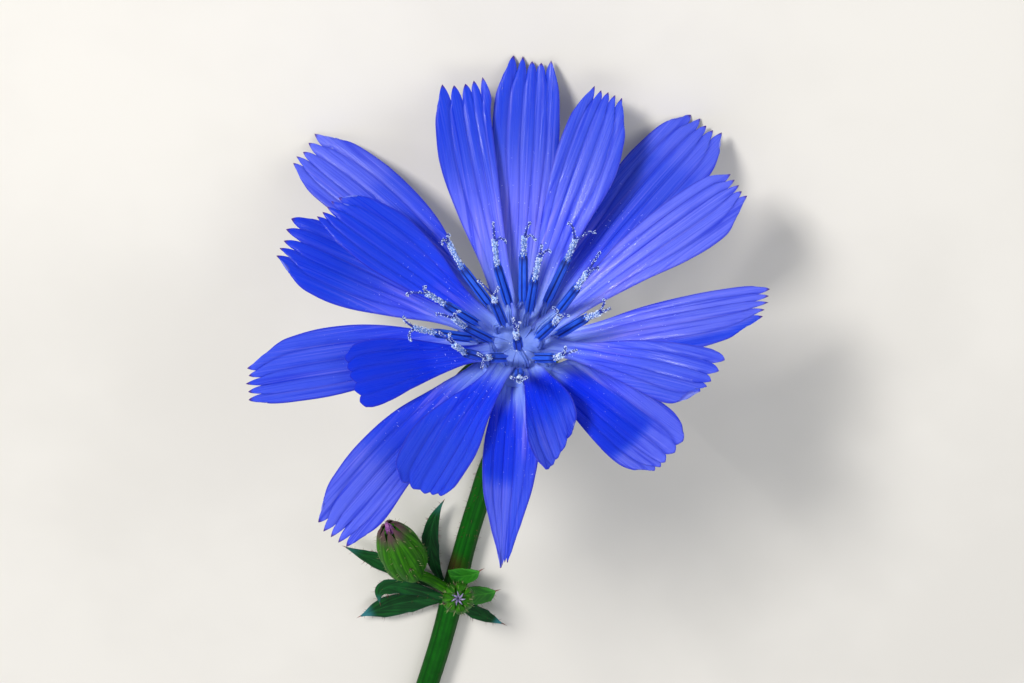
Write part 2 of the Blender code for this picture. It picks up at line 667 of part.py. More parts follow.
def stem_path():
    """Places and radii along the stem, from the head to the cut end."""
    root = head_to_world((0.0, 0.0, CORE_OUTLINE[-1][1] - STEM_NECK_GAP))
    down = head_to_world((0.0, 0.0, -1.0)) - head_to_world((0.0, 0.0, 0.0))
    x, y = STEM_TOUCHDOWN
    touch = Vector((x, y, STEM_HEIGHT))
    along = Vector((STEM_SLOPE, 1.0, 0.0)).normalized()
    bend = (root, root + down * STEM_NECK_HANDLE, touch + along * STEM_LYING_HANDLE, touch)
    shares = [index / STEM_BEND_STEPS for index in range(STEM_BEND_STEPS)]
    path = [bezier(bend, share) for share in shares]
    radii = [STEM_RADIUS * (1 + STEM_NECK_GAIN * (1 - share)) for share in shares]
    for index in range(STEM_LYING_STEPS + 1):
        far = y + (STEM_END - y) * index / STEM_LYING_STEPS
        aside = x + STEM_SLOPE * (far - y) + STEM_WAVE * math.sin(STEM_WAVE_TURN * (far - y))
        swell = STEM_NODE_SWELLING * math.exp(-((far - STEM_NODE) / STEM_NODE_SPREAD) ** 2)
        below = (STEM_NODE + STEM_GAIN_START - far) / STEM_GAIN_LENGTH
        gain = STEM_LOWER_GAIN * min(max(below, 0.0), 1.0)
        path.append(Vector((aside, far, STEM_HEIGHT + gain)))
        radii.append(STEM_RADIUS + swell + gain)
    return path, radii


def make_stem(collection, cutters):
    """The stem, flattened a little where it lies on the table."""
    path, radii = stem_path()
    stem = tube("stem", path, radii, STEM_SIDES, collection)
    bpy.ops.mesh.primitive_cube_add(size=1.0)
    table = bpy.context.active_object
    table.name = "table_cutter"
    table.scale = CUTTER_SIZE
    table.location = (0.0, CUTTER_MIDDLE, -CUTTER_SIZE[2] / 2)
    bpy.ops.object.transform_apply(location=False, rotation=False, scale=True)
    for owner in list(table.users_collection):
        owner.objects.unlink(table)
    cutters.objects.link(table)
    table.hide_render = True
    table.display_type = "WIRE"
    cut = stem.modifiers.new("underside", "BOOLEAN")
    cut.operation = "DIFFERENCE"
    cut.object = table
    cut.solver = "EXACT"
    return stem


def make_leaf(row, collection):
    """A small toothed leaf at the stem's node."""
    places = [laid(*row.root), laid(*row.middle), laid(*row.tip)]
    control = places[1] * 2 - (places[0] + places[2]) / 2
    up = Vector((0.0, 0.0, 1.0))
    shares = [station for station, _ in LEAF_OUTLINE]
    widths = [width for _, width in LEAF_OUTLINE]

    def spine(at):
        rest = 1 - at
        return places[0] * rest ** 2 + control * 2 * rest * at + places[2] * at ** 2

    def place(u, index):
        at = index / LEAF_ROWS
        ahead = spine(min(at + LEAF_STEP, 1.0))
        tangent = (ahead - spine(max(at - LEAF_STEP, 0.0))).normalized()
        side = up.cross(tangent).normalized()
        face = tangent.cross(side)
        across = 1 - 2 * u
        half = row.half * blend(shares, widths, at)
        if abs(across) > LEAF_EDGE and 0 < index < LEAF_ROWS:
            toothed = index % math.ceil(LEAF_ROWS / (row.teeth + 1)) == 1
            half *= LEAF_TOOTH if toothed else LEAF_NOTCH
        rib = -LEAF_KEEL * half * min(1.0, half) * (1 - abs(across))
        return spine(at) + side * (across * half) + face * rib

    return sheet(row.name, LEAF_ACROSS, LEAF_ROWS, place, LEAF_THICKNESS, collection)


def bud_matrix(row):
    """Turns a bud's own Z axis to the way it points and moves it to its root."""
    root = laid(*row.root)
    tip = laid(*row.tip)
    ahead = (tip - root).normalized()
    turn = ahead.to_track_quat("Z", "Y").to_matrix().to_4x4()
    return Matrix.Translation(root * MM) @ turn, (tip - root).length


def make_bud(row, collection):
    """A closed bud: a ribbed body whose rim stands up in points, and the furled petals."""
    matrix, length = bud_matrix(row)
    rim = row.outline[-1][1]
    top = row.outline[-1][0] * length
    floor = top - BUD_FLOOR_DEPTH
    mouth = rim - BUD_WALL
    outline = [(0.0, floor), (mouth - BUD_FLOOR_INSET, floor), (mouth, top)]
    outline += [(radius, share * length) for share, radius in reversed(row.outline)]
    outline.append((0.0, 0.0))
    made = turned(row.name, outline, 2 * row.bracts, collection)
    for vert in made.data.vertices:
        out = math.hypot(vert.co.x, vert.co.y)
        height = vert.co.z / MM
        inside = height < floor + 2 * BUD_FLOOR_INSET and out < mouth * MM
        if out < BUD_AXIS * MM or inside:
            continue
        azimuth = math.atan2(vert.co.y, vert.co.x)
        furrow = 0.5 * (1 + math.cos(row.bracts * azimuth))
        change = 0.0
        if height < top - BUD_FLOOR_INSET:
            change = -BUD_RIB * furrow * min(1.0, out / (BUD_FULL_RIB * MM))
        elif furrow < BUD_POINT_FURROW:
            vert.co.z += row.point * MM
            change = -row.lean
        vert.co.x *= 1 + change * MM / out
        vert.co.y *= 1 + change * MM / out
    made.data.transform(matrix)
    if row.stalk is not None:
        root = laid(*row.root)
        end = laid(*row.stalk)
        bend = root.lerp(end, STALK_BEND) - Vector((0.0, 0.0, STALK_SAG))
        path = [root.lerp(laid(*row.tip), STALK_INSIDE), root, bend, end]
        radii = [STALK_RADIUS, STALK_RADIUS, STALK_RADIUS, STALK_RADIUS * STALK_FLARE]
        made = fused(made, [tube("stalk", path, radii, 2, collection)], collection)
    start = floor + FURL_GAP
    furl = [(0.0, start + FURL_POINT + row.petals)]
    furl += [(row.petals * share, start + up) for share, up in FURL_OUTLINE]
    furl.append((0.0, start))
    petals = turned(row.name + "_petals", furl, FURL_SIDES, collection)
    petals.data.transform(matrix)
    return made, petals


def dress(made, name, colour, roughness):
    """Gives an object its one material."""
    made.data.materials.clear()
    made.data.materials.append(paint(name, colour, roughness))


def centre_on_table(objects):
    """Moves everything so the table's origin is under the middle of the flower."""
    bpy.context.view_layer.update()
    graph = bpy.context.evaluated_depsgraph_get()
    low = Vector((1.0, 1.0, 1.0))
    high = Vector((-1.0, -1.0, -1.0))
    for made in objects:
        if made.hide_render:
            continue
        solid = made.evaluated_get(graph)
        for vert in solid.to_mesh().vertices:
            place = made.matrix_world @ vert.co
            low = Vector(map(min, low, place))
            high = Vector(map(max, high, place))
        solid.to_mesh_clear()
    shift = Vector((-(low.x + high.x) / 2, -(low.y + high.y) / 2, 0.0))
    for made in objects:
        made.location += shift


def main():
    """Builds every piece of the flower."""
    for old in list(bpy.data.objects):
        bpy.data.objects.remove(old)
    parts = bpy.data.collections.new("chicory_flower")
    cutters = bpy.data.collections.new("cutters")
    bpy.context.scene.collection.children.link(parts)
    bpy.context.scene.collection.children.link(cutters)

    for row in FLORETS:
        floret = make_floret(row, parts)
        if row.number in RESTING_FLORETS:
            settle(floret)
        dress(floret, "petal_blue", PETAL_BLUE, PETAL_ROUGHNESS)
    for row in COLUMNS:
        dress(make_column(row, parts), "anther_blue", ANTHER_BLUE, ANTHER_ROUGHNESS)
    dress(make_involucre(parts), "involucre_green", INVOLUCRE_GREEN, GREEN_ROUGHNESS)
    dress(make_receptacle(parts), "receptacle_pale", RECEPTACLE_PALE, GREEN_ROUGHNESS)
    dress(make_stem(parts, cutters), "stem_green", STEM_GREEN, GREEN_ROUGHNESS)
    for row in LEAVES:
        dress(make_leaf(row, parts), "leaf_green", LEAF_GREEN, GREEN_ROUGHNESS)
    for row in BUDS:
        body, petals = make_bud(row, parts)
        dress(body, "bud_green", BUD_GREEN, GREEN_ROUGHNESS)
        dress(petals, "bud_petals", BUD_PURPLE, PETAL_ROUGHNESS)
    centre_on_table(list(parts.objects) + list(cutters.objects))


main()
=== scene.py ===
"""Chicory flower, cut and laid on a table: its fine pieces, finishes, light and camera."""

import logging
import math
import random
from bisect import bisect_left
from dataclasses import dataclass, replace
from enum import Enum
from functools import cache
from typing import Callable, Iterable, NamedTuple, Sequence

import bmesh
import bpy
from mathutils import Matrix, Vector


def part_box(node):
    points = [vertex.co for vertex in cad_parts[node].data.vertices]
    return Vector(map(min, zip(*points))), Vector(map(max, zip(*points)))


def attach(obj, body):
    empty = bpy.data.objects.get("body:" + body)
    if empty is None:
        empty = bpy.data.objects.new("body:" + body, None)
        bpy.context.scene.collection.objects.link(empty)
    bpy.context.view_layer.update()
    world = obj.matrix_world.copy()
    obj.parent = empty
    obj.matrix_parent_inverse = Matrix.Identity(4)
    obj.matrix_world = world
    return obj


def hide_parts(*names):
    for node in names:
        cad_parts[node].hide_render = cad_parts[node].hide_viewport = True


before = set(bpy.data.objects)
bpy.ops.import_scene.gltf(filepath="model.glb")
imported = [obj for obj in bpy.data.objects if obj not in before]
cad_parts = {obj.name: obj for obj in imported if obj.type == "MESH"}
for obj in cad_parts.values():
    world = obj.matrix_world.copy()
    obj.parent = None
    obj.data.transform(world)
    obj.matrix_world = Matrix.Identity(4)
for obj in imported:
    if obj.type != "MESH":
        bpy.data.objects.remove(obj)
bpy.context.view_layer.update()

MM = 0.001
UP = Vector((0.0, 0.0, 1.0))
ROUND = 2 * math.pi
MELT = 1e-7
SHARP_ANGLE = 50.0
TABLE_GAP = 0.02
MATERIAL_PREFIX = "chicory_"

log = logging.getLogger("chicory")

Colour = str | tuple[float, float, float]
Socket = bpy.types.NodeSocket
Pair = tuple[float, float]
Triple = tuple[float, float, float]
Frame = tuple[Vector, Vector]

# The finishes that the flower wears
Look = Enum(
    "Look",
    "PETAL_FRONT PETAL_BACK ANTHER FILAMENT STYLE POLLEN THROAT CUP BRACT STEM LEAF LEAF_BACK "
    "LEAF_BRIGHT SPINE BUD BUD_PETAL BUD_STAR HAIR HAIR_BLUE PITH TABLE",
)


def clamp(value: float) -> float:
    """The value kept from 0 to 1."""
    return max(0.0, min(1.0, value))


def ease(low: float, high: float, value: float) -> float:
    """A smooth step from 0 at low to 1 at high."""
    share = clamp((value - low) / (high - low))
    return share * share * (3.0 - 2.0 * share)


def bell(distance: float, reach: float) -> float:
    """A smooth fall from 1 at no distance to nearly 0 at twice the reach."""
    return math.exp(-(distance / reach) ** 2)


def polar(out: float, turn: float, up: float = 0.0) -> Vector:
    """The place at a distance from the Z axis, a turn round it in radians and a height."""
    return Vector((out * math.cos(turn), out * math.sin(turn), up))


def curve_at(points: Sequence[Vector | float], share: float) -> Vector | float:
    """The value at a share of the way along a curve that four points pull into shape.

    Args:
        points: the four points, of which the curve meets the first and the last.
        share: how far along it the value is read.

    Returns:
        The value there.
    """
    rest = 1.0 - share
    a, b, c, d = points
    return a * rest ** 3 + b * 3 * rest ** 2 * share + c * 3 * rest * share ** 2 + d * share ** 3


def between(values: Sequence[Vector | float], index: int, share: float) -> Vector | float:
    """A smooth value on the way from one of a row of values to the next.

    Args:
        values: the row, of places or of numbers.
        index: the first of the two.
        share: how far it is on the way.

    Returns:
        The value on a curve through the whole row.
    """
    start, end = values[index], values[index + 1]
    out = (end - values[max(index - 1, 0)]) / 6
    into = (values[min(index + 2, len(values) - 1)] - start) / 6
    return curve_at((start, start + out, end - into, end), share)


def blend(stations: Sequence[float], values: Sequence[float], at: float) -> float:
    """A smooth value between stations, and level beyond both ends.

    Args:
        stations: rising places that have a value.
        values: the value at each station.
        at: the place asked for.

    Returns:
        The value there.
    """
    index = bisect_left(stations, at)
    if index in (0, len(stations)):
        return values[min(index, len(values) - 1)]
    start, end = stations[index - 1:index + 1]
    return between(values, index - 1, (at - start) / (end - start))


def smooth_path(places: Sequence[Vector], steps: int) -> list[Vector]:
    """Places along a smooth curve through the given ones.

    Args:
        places: the places that the curve passes.
        steps: how many to read for each stretch.

    Returns:
        The places read, from the first to the last.
    """
    stretches = range(len(places) - 1)
    made = [between(places, index, step / steps) for index in stretches for step in range(steps)]
    return made + [places[-1].copy()]


@dataclass(frozen=True)
class Pose:
    """How the flower lies on the table and how it is looked at, in millimetres and degrees."""

    view_tilt: float = 31.0
    head_tilt: float = 20.0
    throat_height: float = 11.8
    view_distance: float = 228.0
    view_centre: Pair = (-0.4, 0.7)
    shift: Pair = (0.0, 0.0)

    @property
    def table_turn(self) -> Matrix:
        """Turns directions as looked at to directions over the table."""
        return Matrix.Rotation(math.radians(-self.view_tilt), 3, "X")

    @property
    def head_turn(self) -> Matrix:
        """Turns directions round the head's axis to directions as looked at."""
        return Matrix.Rotation(math.radians(-self.head_tilt), 3, "X")

    def to_world(self, place: Vector) -> Vector:
        """A place as looked at, over the table and in the frame's position."""
        return self.table_turn @ place + Vector((*self.shift, self.throat_height))

    def head_to_world(self, place: Vector) -> Vector:
        """A place round the head's axis, over the table."""
        return self.to_world(self.head_turn @ place)

    def head_matrix(self) -> Matrix:
        """Turns and moves a whole shape from the head's axis to the table, in metres."""
        turn = (self.table_turn @ self.head_turn).to_4x4()
        return Matrix.Translation(self.to_world(Vector()) * MM) @ turn

    def seen(self, x: float, y: float, z: float) -> Vector:
        """The place at a depth that shows at a point of the view.

        Args:
            x: how far to the right it shows, in millimetres at the throat.
            y: how far up it shows.
            z: how much nearer the viewer than the throat it is.

        Returns:
            The place as looked at.
        """
        near = 1.0 - z / self.view_distance
        middle_x, middle_y = self.view_centre
        return Vector((middle_x + (x - middle_x) * near, middle_y + (y - middle_y) * near, z))

    def laid(self, x: float, y: float, height: float) -> Vector:
        """The place at a height over the table that shows at a point of the view.

        Args:
            x: how far to the right it shows, in millimetres at the throat.
            y: how far up it shows.
            height: its height over the table.

        Returns:
            The place over the table.
        """
        tilt = math.radians(self.view_tilt)
        down = math.sin(tilt)
        fall = math.cos(tilt) + down * (y - self.view_centre[1]) / self.view_distance
        depth = (height - self.throat_height + down * y) / fall
        return self.to_world(self.seen(x, y, depth))


BOSS_OUTLINE = ((0.0, 1.1), (0.7, 0.95), (1.05, 0.5), (1.15, -0.1), (1.15, -0.65), (0.0, -0.65))
BOSS_SIDES = 16


def pose_in_frame() -> Pose:
    """Finds how far the frame lies from a flower built round the throat.

    Returns:
        The pose with its shift, found from the receptacle, which is turned from BOSS_OUTLINE.
    """
    plain = Pose()
    places = [
        plain.head_to_world(polar(out, ROUND * side / BOSS_SIDES, up))
        for out, up in BOSS_OUTLINE
        for side in range(BOSS_SIDES)
    ]
    low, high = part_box("receptacle")
    shift = [
        (low[axis] + high[axis]) / 2 / MM - (min(own) + max(own)) / 2
        for axis, own in enumerate(list(zip(*places))[:2])
    ]
    return replace(plain, shift=tuple(shift))


POSE = pose_in_frame()
SHIFT = Vector((*POSE.shift, 0.0))


def light_of(code: str) -> Triple:
    """The light that a screen colour stands for.

    Args:
        code: the screen colour, as a hex code.

    Returns:
        Its red, green and blue light, from 0 to 1.
    """
    values = [int(code[at:at + 2], 16) for at in (0, 2, 4)]
    return tuple(
        value / 255 / 12.92 if value <= 10 else ((value / 255 + 0.055) / 1.055) ** 2.4
        for value in values
    )


def name_of(look: Look) -> str:
    """The name of the material that shows a finish."""
    return MATERIAL_PREFIX + look.name.lower()


class Nodes:
    """Lays out one procedural material's nodes."""

    def __init__(self, look: Look) -> None:
        """Starts the material of a finish.

        Args:
            look: the finish.
        """
        self.material = bpy.data.materials.new(name_of(look))
        self.material.use_nodes = True
        self.tree = self.material.node_tree
        self.shader = self.tree.nodes["Principled BSDF"]

    def put(self, node: bpy.types.Node, inputs: dict[str | int, object]) -> None:
        """Links a node's inputs to sockets, or sets their own values.

        Args:
            node: the node.
            inputs: sockets or values, by the input's name or number.
        """
        for key, value in inputs.items():
            socket = node.inputs[key]
            if isinstance(value, Socket):
                self.tree.links.new(value, socket)
                continue
            if isinstance(value, str):
                value = light_of(value)
            socket.default_value = (*value, 1.0) if socket.type == "RGBA" else value

    def add(
        self, kind: str, inputs: dict[str | int, object], output: str | int = 0, **own: object
    ) -> Socket:
        """Adds a node.

        Args:
            kind: its type, without the ShaderNode prefix.
            inputs: sockets or values, by the input's name or number.
            output: which output is asked for.
            **own: the node's own properties.

        Returns:
            The output's socket.
        """
        node = self.tree.nodes.new("ShaderNode" + kind)
        for name, value in own.items():
            setattr(node, name, value)
        self.put(node, inputs)
        return node.outputs[output]

    def mark(self, name: str) -> Socket:
        """The value of one of the mesh's own attributes."""
        return self.add("Attribute", {}, "Fac", attribute_name=name)

    def place(self) -> Socket:
        """Object coordinates in millimetres."""
        coordinates = self.add("TexCoord", {}, "Object")
        return self.add("VectorMath", {0: coordinates, "Scale": 1.0 / MM}, operation="SCALE")

    def combine(self, *values: object) -> Socket:
        """A vector of three values."""
        return self.add("CombineXYZ", dict(enumerate(values)))

    def maths(self, operation: str, *values: object, hold: bool = False) -> Socket:
        """The result of one sum, kept from 0 to 1 if hold is set."""
        return self.add("Math", dict(enumerate(values)), operation=operation, use_clamp=hold)

    def times(self, first: object, second: object) -> Socket:
        """Two values multiplied."""
        return self.maths("MULTIPLY", first, second)

    def span(self, value: object, low: float, high: float, to: float = 1.0) -> Socket:
        """A smooth rise from 0 at low to a value at high."""
        inputs = {"Value": value, "From Min": low, "From Max": high, "To Max": to}
        return self.add("MapRange", inputs, "Result", interpolation_type="SMOOTHSTEP")

    def noise(self, at: object, scale: float, detail: float = 3.0, rough: float = 0.55) -> Socket:
        """The value of a noise pattern, from about 0.3 to 0.7."""
        inputs = {"Vector": at, "Scale": scale, "Detail": detail, "Roughness": rough}
        return self.add("TexNoise", inputs, "Fac")

    def ramp(self, value: object, stops: Sequence[tuple[float, str]]) -> Socket:
        """A colour that changes along a value.

        Args:
            value: what it follows.
            stops: places from 0 to 1 and the hex code at each.

        Returns:
            The colour's socket.
        """
        colour = self.add("ValToRGB", {"Fac": value}, "Color")
        line = colour.node.color_ramp.elements
        while len(line) < len(stops):
            line.new(0.5)
        for element, (position, code) in zip(line, stops):
            element.position = position
            element.color = (*light_of(code), 1.0)
        return colour

    def layers(self, colour: object, *coats: tuple) -> Socket:
        """A colour under coats of others.

        Args:
            colour: the lowest colour.
            *coats: how much of each shows, its colour, and its blend type unless it is MIX.

        Returns:
            The colour's socket.
        """
        for share, coat, *way in coats:
            own = {"data_type": "RGBA", "blend_type": way[0] if way else "MIX"}
            colour = self.add("Mix", {0: share, 6: colour, 7: coat}, 2, **own)
        return colour

    def bump(self, height: object, distance: float, strength: float = 1.0) -> None:
        """Gives the shader a relief, with its distance in millimetres."""
        inputs = {"Height": height, "Distance": distance * MM, "Strength": strength}
        self.put(self.shader, {"Normal": self.add("Bump", inputs, "Normal")})

    def glow(self, share: float, radii: Triple, scale: float) -> None:
        """Lets some light spread inside.

        Args:
            share: how much of the light spreads.
            radii: how far red, green and blue light do, in scales.
            scale: the scale, in millimetres.
        """
        self.put(self.shader, {
            "Subsurface Weight": share, "Subsurface Radius": radii, "Subsurface Scale": scale * MM,
        })

    def finish(self, colour: object, roughness: object, gloss: float) -> None:
        """Sets the shader's colour, roughness and mirror shine.

        Args:
            colour: the colour.
            roughness: the roughness.
            gloss: the mirror shine.
        """
        self.put(self.shader, {
            "Base Color": colour, "Roughness": roughness, "Specular IOR Level": gloss,
        })


@dataclass(frozen=True)
class PetalFinish:
    """Thin blue blades: pale at the throat, with furrows, streaks, dark tooth tips and painted light and
    shade.

    Attributes:
        look: the finish.
        painted_shades: colours from the deepest painted shade to the brightest painted light.
        throat: the pale colour at the throat, which reaches further out on blades painted as lit.
        furrow: the furrows' colour.
        light: the colour of pale bands and streaks that show only on blades painted as lit, partly their own
            streaks and partly painted highlight.
        dark: the colour of dark streaks.
        fade: what the outer part's colour is multiplied by.
        margin: the thin edge's colour.
        tip: the colour of the teeth's points.
        speck: the colour of fallen pollen.
        veins: how strongly the furrows show.
    """

    look: Look
    painted_shades: tuple[tuple[float, Colour], ...]
    throat: Colour
    furrow: Colour
    light: Colour
    dark: Colour
    fade: Colour = (1.0, 0.98, 0.78)
    margin: Colour = "2826a0"
    tip: Colour = "3e1a54"
    speck: Colour = "bec8fa"
    veins: float = 0.5

    def build(self) -> None:
        """Makes the material."""
        nodes = Nodes(self.look)
        along, across, furrow, edge, tip, tone = map(nodes.mark, Marks._fields)
        streaks = nodes.noise(nodes.combine(nodes.times(across, 9.0), along, 0.0), 1.0, 4.0, 0.65)
        bands = nodes.noise(nodes.combine(nodes.times(across, 2.4), nodes.times(along, 1.6), 3.0), 1.0, 2.0)
        patches = nodes.noise(nodes.combine(across, nodes.times(along, 5.0), 0.0), 0.9, 3.0)
        specks = nodes.noise(nodes.combine(across, nodes.times(along, 20.0), tone), 6.5, 1.0)
        near = nodes.maths("SUBTRACT", 1.0, nodes.span(along, 0.25, 0.75))
        # lit and inner: how lit the blade is painted, and painted light on the inner part of lit blades
        lit = nodes.span(tone, -1.1, 0.3)
        inner = nodes.maths("SUBTRACT", nodes.span(tone, -1.1, 0.4), nodes.span(along, 0.2, 0.62), hold=True)
        deep = nodes.times(nodes.span(furrow, 0.0, 1.0), nodes.span(along, 0.06, 0.5, self.veins))
        # The pale throat reaches further along blades painted as lit
        away = nodes.times(along, nodes.maths("MULTIPLY_ADD", lit, -1.4, 2.4))
        paler = nodes.maths("POWER", nodes.maths("SUBTRACT", 1.0, nodes.span(away, 0.0, 0.46)), 1.7)
        colour = nodes.layers(
            # Each blade's painted light and shade, from its level
            nodes.ramp(nodes.maths("MULTIPLY_ADD", tone, 0.5, 0.5), self.painted_shades),
            # Pale bands and streaks on lit blades are partly painted highlight, and furrows show more where
            # a blade is painted lit
            (nodes.times(nodes.span(bands, 0.5, 0.68, 0.8), inner), self.light),
            (nodes.times(deep, nodes.maths("MULTIPLY_ADD", lit, 0.4, 0.6)), self.furrow),
            (nodes.span(bands, 0.48, 0.3, 0.6), self.dark),
            (nodes.times(nodes.span(streaks, 0.52, 0.75, 0.34), lit), self.light),
            (nodes.span(streaks, 0.48, 0.3, 0.2), self.furrow),
            (nodes.span(patches, 0.5, 0.8, 0.35), self.dark),
            (nodes.span(along, 0.25, 0.7), self.fade, "MULTIPLY"),
            (nodes.times(paler, nodes.span(bands, 0.2, 0.55, 0.95)), self.throat),
            (nodes.times(nodes.span(specks, 0.74, 0.78), near), self.speck),
            (nodes.span(edge, 0.35, 1.0, 0.45), self.margin),
            (nodes.span(tip, 0.3, 0.9, 0.85), self.tip),
        )
        nodes.bump(nodes.maths("ADD", nodes.times(streaks, 0.4), bands), 0.08, 0.7)
        nodes.glow(0.18, (0.35, 0.45, 1.0), 0.6)
        nodes.put(nodes.shader, {"Sheen Weight": 0.04, "Sheen Roughness": 0.4})
        nodes.finish(colour, nodes.span(streaks, 0.2, 0.8, 0.75), 0.14)


@dataclass(frozen=True)
class AntherFinish:
    """Five fused anthers: deep blue with navy seams."""

    look: Look = Look.ANTHER
    body: Colour = "1450d8"
    shine: Colour = "3e74ee"
    seam: Colour = "061670"
    ends: Colour = "0c1c6e"

    def build(self) -> None:
        """Makes the material."""
        nodes = Nodes(self.look)
        along, across = nodes.mark("along"), nodes.mark("across")
        grain = nodes.noise(nodes.combine(nodes.times(across, 9.0), along, nodes.mark("tone")), 4.0)
        nodes.bump(grain, 0.03)
        colour = nodes.layers(
            self.body,
            (nodes.span(grain, 0.35, 0.7), self.shine),
            (nodes.span(nodes.mark("furrow"), 0.3, 0.9), self.seam),
            (nodes.span(along, 0.8, 1.0, 0.8), self.ends),
        )
        nodes.finish(colour, 0.45, 0.35)


@dataclass(frozen=True)
class TissueFinish:
    """A soft plant tissue of two close colours, with an optional third in specks.

    Attributes:
        look: the finish.
        first: one colour.
        second: the other colour.
        speck: the specks' colour.
        specks: the noise value above which specks show.
        size: the size of the mottling, in millimetres.
        rough: the roughness.
        glow: the share of light that spreads inside.
    """

    look: Look
    first: Colour
    second: Colour
    speck: Colour = "000000"
    specks: float = 1.0
    size: float = 0.5
    rough: float = 0.6
    glow: float = 0.0

    def build(self) -> None:
        """Makes the material."""
        nodes = Nodes(self.look)
        mottle = nodes.noise(nodes.place(), 1.0 / self.size, 4.0)
        fine = nodes.noise(nodes.place(), 5.0 / self.size, 2.0)
        nodes.bump(mottle, 0.04)
        nodes.glow(self.glow, (1.0, 1.0, 1.0), 0.3)
        colour = nodes.layers(
            self.first,
            (nodes.span(mottle, 0.35, 0.65), self.second),
            (nodes.span(fine, self.specks, self.specks + 0.06), self.speck),
        )
        nodes.finish(colour, self.rough, 0.3)


@dataclass(frozen=True)
class GreenFinish:
    """Green skin with lengthwise veins, a lighter midrib, and coloured tips: blushed on most parts, a
    painted sheen on the dark leaves.

    Attributes:
        look: the finish.
        light: the lighter green.
        dark: the darker green.
        rib: the midrib's colour.
        blush: the colour of tips and patches: reddish or purple on most parts, a painted teal sheen on the
            dark leaves.
        edge: the margin's colour.
        stripes: how many veins lie side by side per unit across.
        gloss: the strength of its mirror shine.
    """

    look: Look
    light: Colour
    dark: Colour
    rib: Colour
    blush: Colour
    edge: Colour
    stripes: float = 8.0
    gloss: float = 0.2

    def build(self) -> None:
        """Makes the material."""
        nodes = Nodes(self.look)
        along, across, furrow, edge, tip, tone = map(nodes.mark, Marks._fields)
        lines = nodes.noise(nodes.combine(nodes.times(across, self.stripes), along, tone), 2.0, 3.0)
        mottle = nodes.noise(nodes.place(), 0.9, 4.0)
        nodes.bump(nodes.maths("ADD", lines, nodes.times(mottle, 0.6)), 0.05)
        colour = nodes.layers(
            self.dark,
            (nodes.span(lines, 0.35, 0.65), self.light),
            (nodes.span(mottle, 0.45, 0.7, 0.6), self.dark),
            (nodes.span(furrow, 0.2, 0.9, 0.6), self.rib),
            (nodes.span(edge, 0.2, 1.0, 0.6), self.edge),
            # Tip colour: a reddish or purple tip on most green parts, a painted teal sheen on the dark
            # leaves
            (nodes.span(tip, 0.1, 1.0, 0.85), self.blush),
        )
        nodes.finish(colour, 0.55, self.gloss)


# Petal colours from deep painted shade to bright painted light, for the fronts and the backs
FRONT_PAINTED_SHADES = (
    (0.0, "0428d0"), (0.25, "1838d6"), (0.5, "3248dc"), (0.75, "525ee6"), (1.0, "7478ee"),
)
BACK_PAINTED_SHADES = ((0.0, "5060de"), (0.5, "6874e8"), (1.0, "848af0"))
FINISHES = (
    PetalFinish(Look.PETAL_FRONT, FRONT_PAINTED_SHADES, "849ee7", "0e24b8", "8c84ee", "1228c8"),
    PetalFinish(Look.PETAL_BACK, BACK_PAINTED_SHADES, "acbcf0", "3c4cce", "9298f4", "4c5cda", veins=0.9),
    AntherFinish(),
    TissueFinish(Look.FILAMENT, "849ee2", "6280d6", glow=0.2),
    TissueFinish(Look.STYLE, "96b4ec", "7496de", "0e1668", 0.55),
    TissueFinish(Look.POLLEN, "d6e2f8", "aac2ec", size=0.25, rough=0.7),
    TissueFinish(Look.THROAT, "748ede", "6480d7", glow=0.2),
    TissueFinish(Look.CUP, "3e682c", "2c5422", size=0.8),
    GreenFinish(Look.BRACT, "548238", "2c5a24", "224a1e", "603454", "849e5c"),
    GreenFinish(Look.STEM, "10560f", "083c0b", "082e0c", "46261a", "1a5216", 5.0, 0.06),
    # The dark leaves' tip colour, 347682, is a painted teal sheen of reflected sky
    GreenFinish(Look.LEAF, "0e4a1c", "083015", "185426", "347682", "10402c", 3.0, 0.1),
    GreenFinish(Look.LEAF_BRIGHT, "2c7c1c", "1c6018", "3c8c28", "3c601e", "348022", 3.0),
    GreenFinish(Look.LEAF_BACK, "547c54", "386242", "709468", "54383c", "466e5a", 3.0),
    GreenFinish(Look.BUD, "36780d", "1c540a", "123c0a", "542e42", "427c1c", 4.0, 0.1),
    TissueFinish(Look.BUD_PETAL, "a05c9e", "6c3276", "c496c8", 0.58, size=0.4),
    TissueFinish(Look.BUD_STAR, "a49cbc", "706894", "1e223c", 0.54, size=0.4),
    TissueFinish(Look.HAIR, "969e70", "7a6a4e", size=0.6),
    TissueFinish(Look.SPINE, "703e34", "542a2c", size=0.6),
    TissueFinish(Look.HAIR_BLUE, "182480", "2c3ea8", size=0.2),
    TissueFinish(Look.PITH, "cedaa6", "a0ba70", size=0.3),
    TissueFinish(Look.TABLE, "d6d3cd", "d0cdc7", size=30.0, rough=0.8),
)


class Marks(NamedTuple):
    """What a vertex tells the finishes: its place on the blade, what it is part of, and a floret's painted
    light and shade.
    """

    along: float = 0.0
    across: float = 0.0
    furrow: float = 0.0
    edge: float = 0.0
    tip: float = 0.0
    # A seed that tells pieces apart; on a floret's blade, its painted light and shade level
    tone: float = 0.0


Spot = tuple[Vector, Marks]
Layers = list[bmesh.types.BMLayerItem]


def blank() -> tuple[bmesh.types.BMesh, Layers]:
    """An empty mesh and the layers that hold its marks."""
    mesh = bmesh.new()
    return mesh, [mesh.verts.layers.float.new(name) for name in Marks._fields]


def mark(vert: bmesh.types.BMVert, layers: Layers, marks: Marks) -> None:
    """Gives a vertex its marks."""
    for layer, value in zip(layers, marks):
        vert[layer] = value


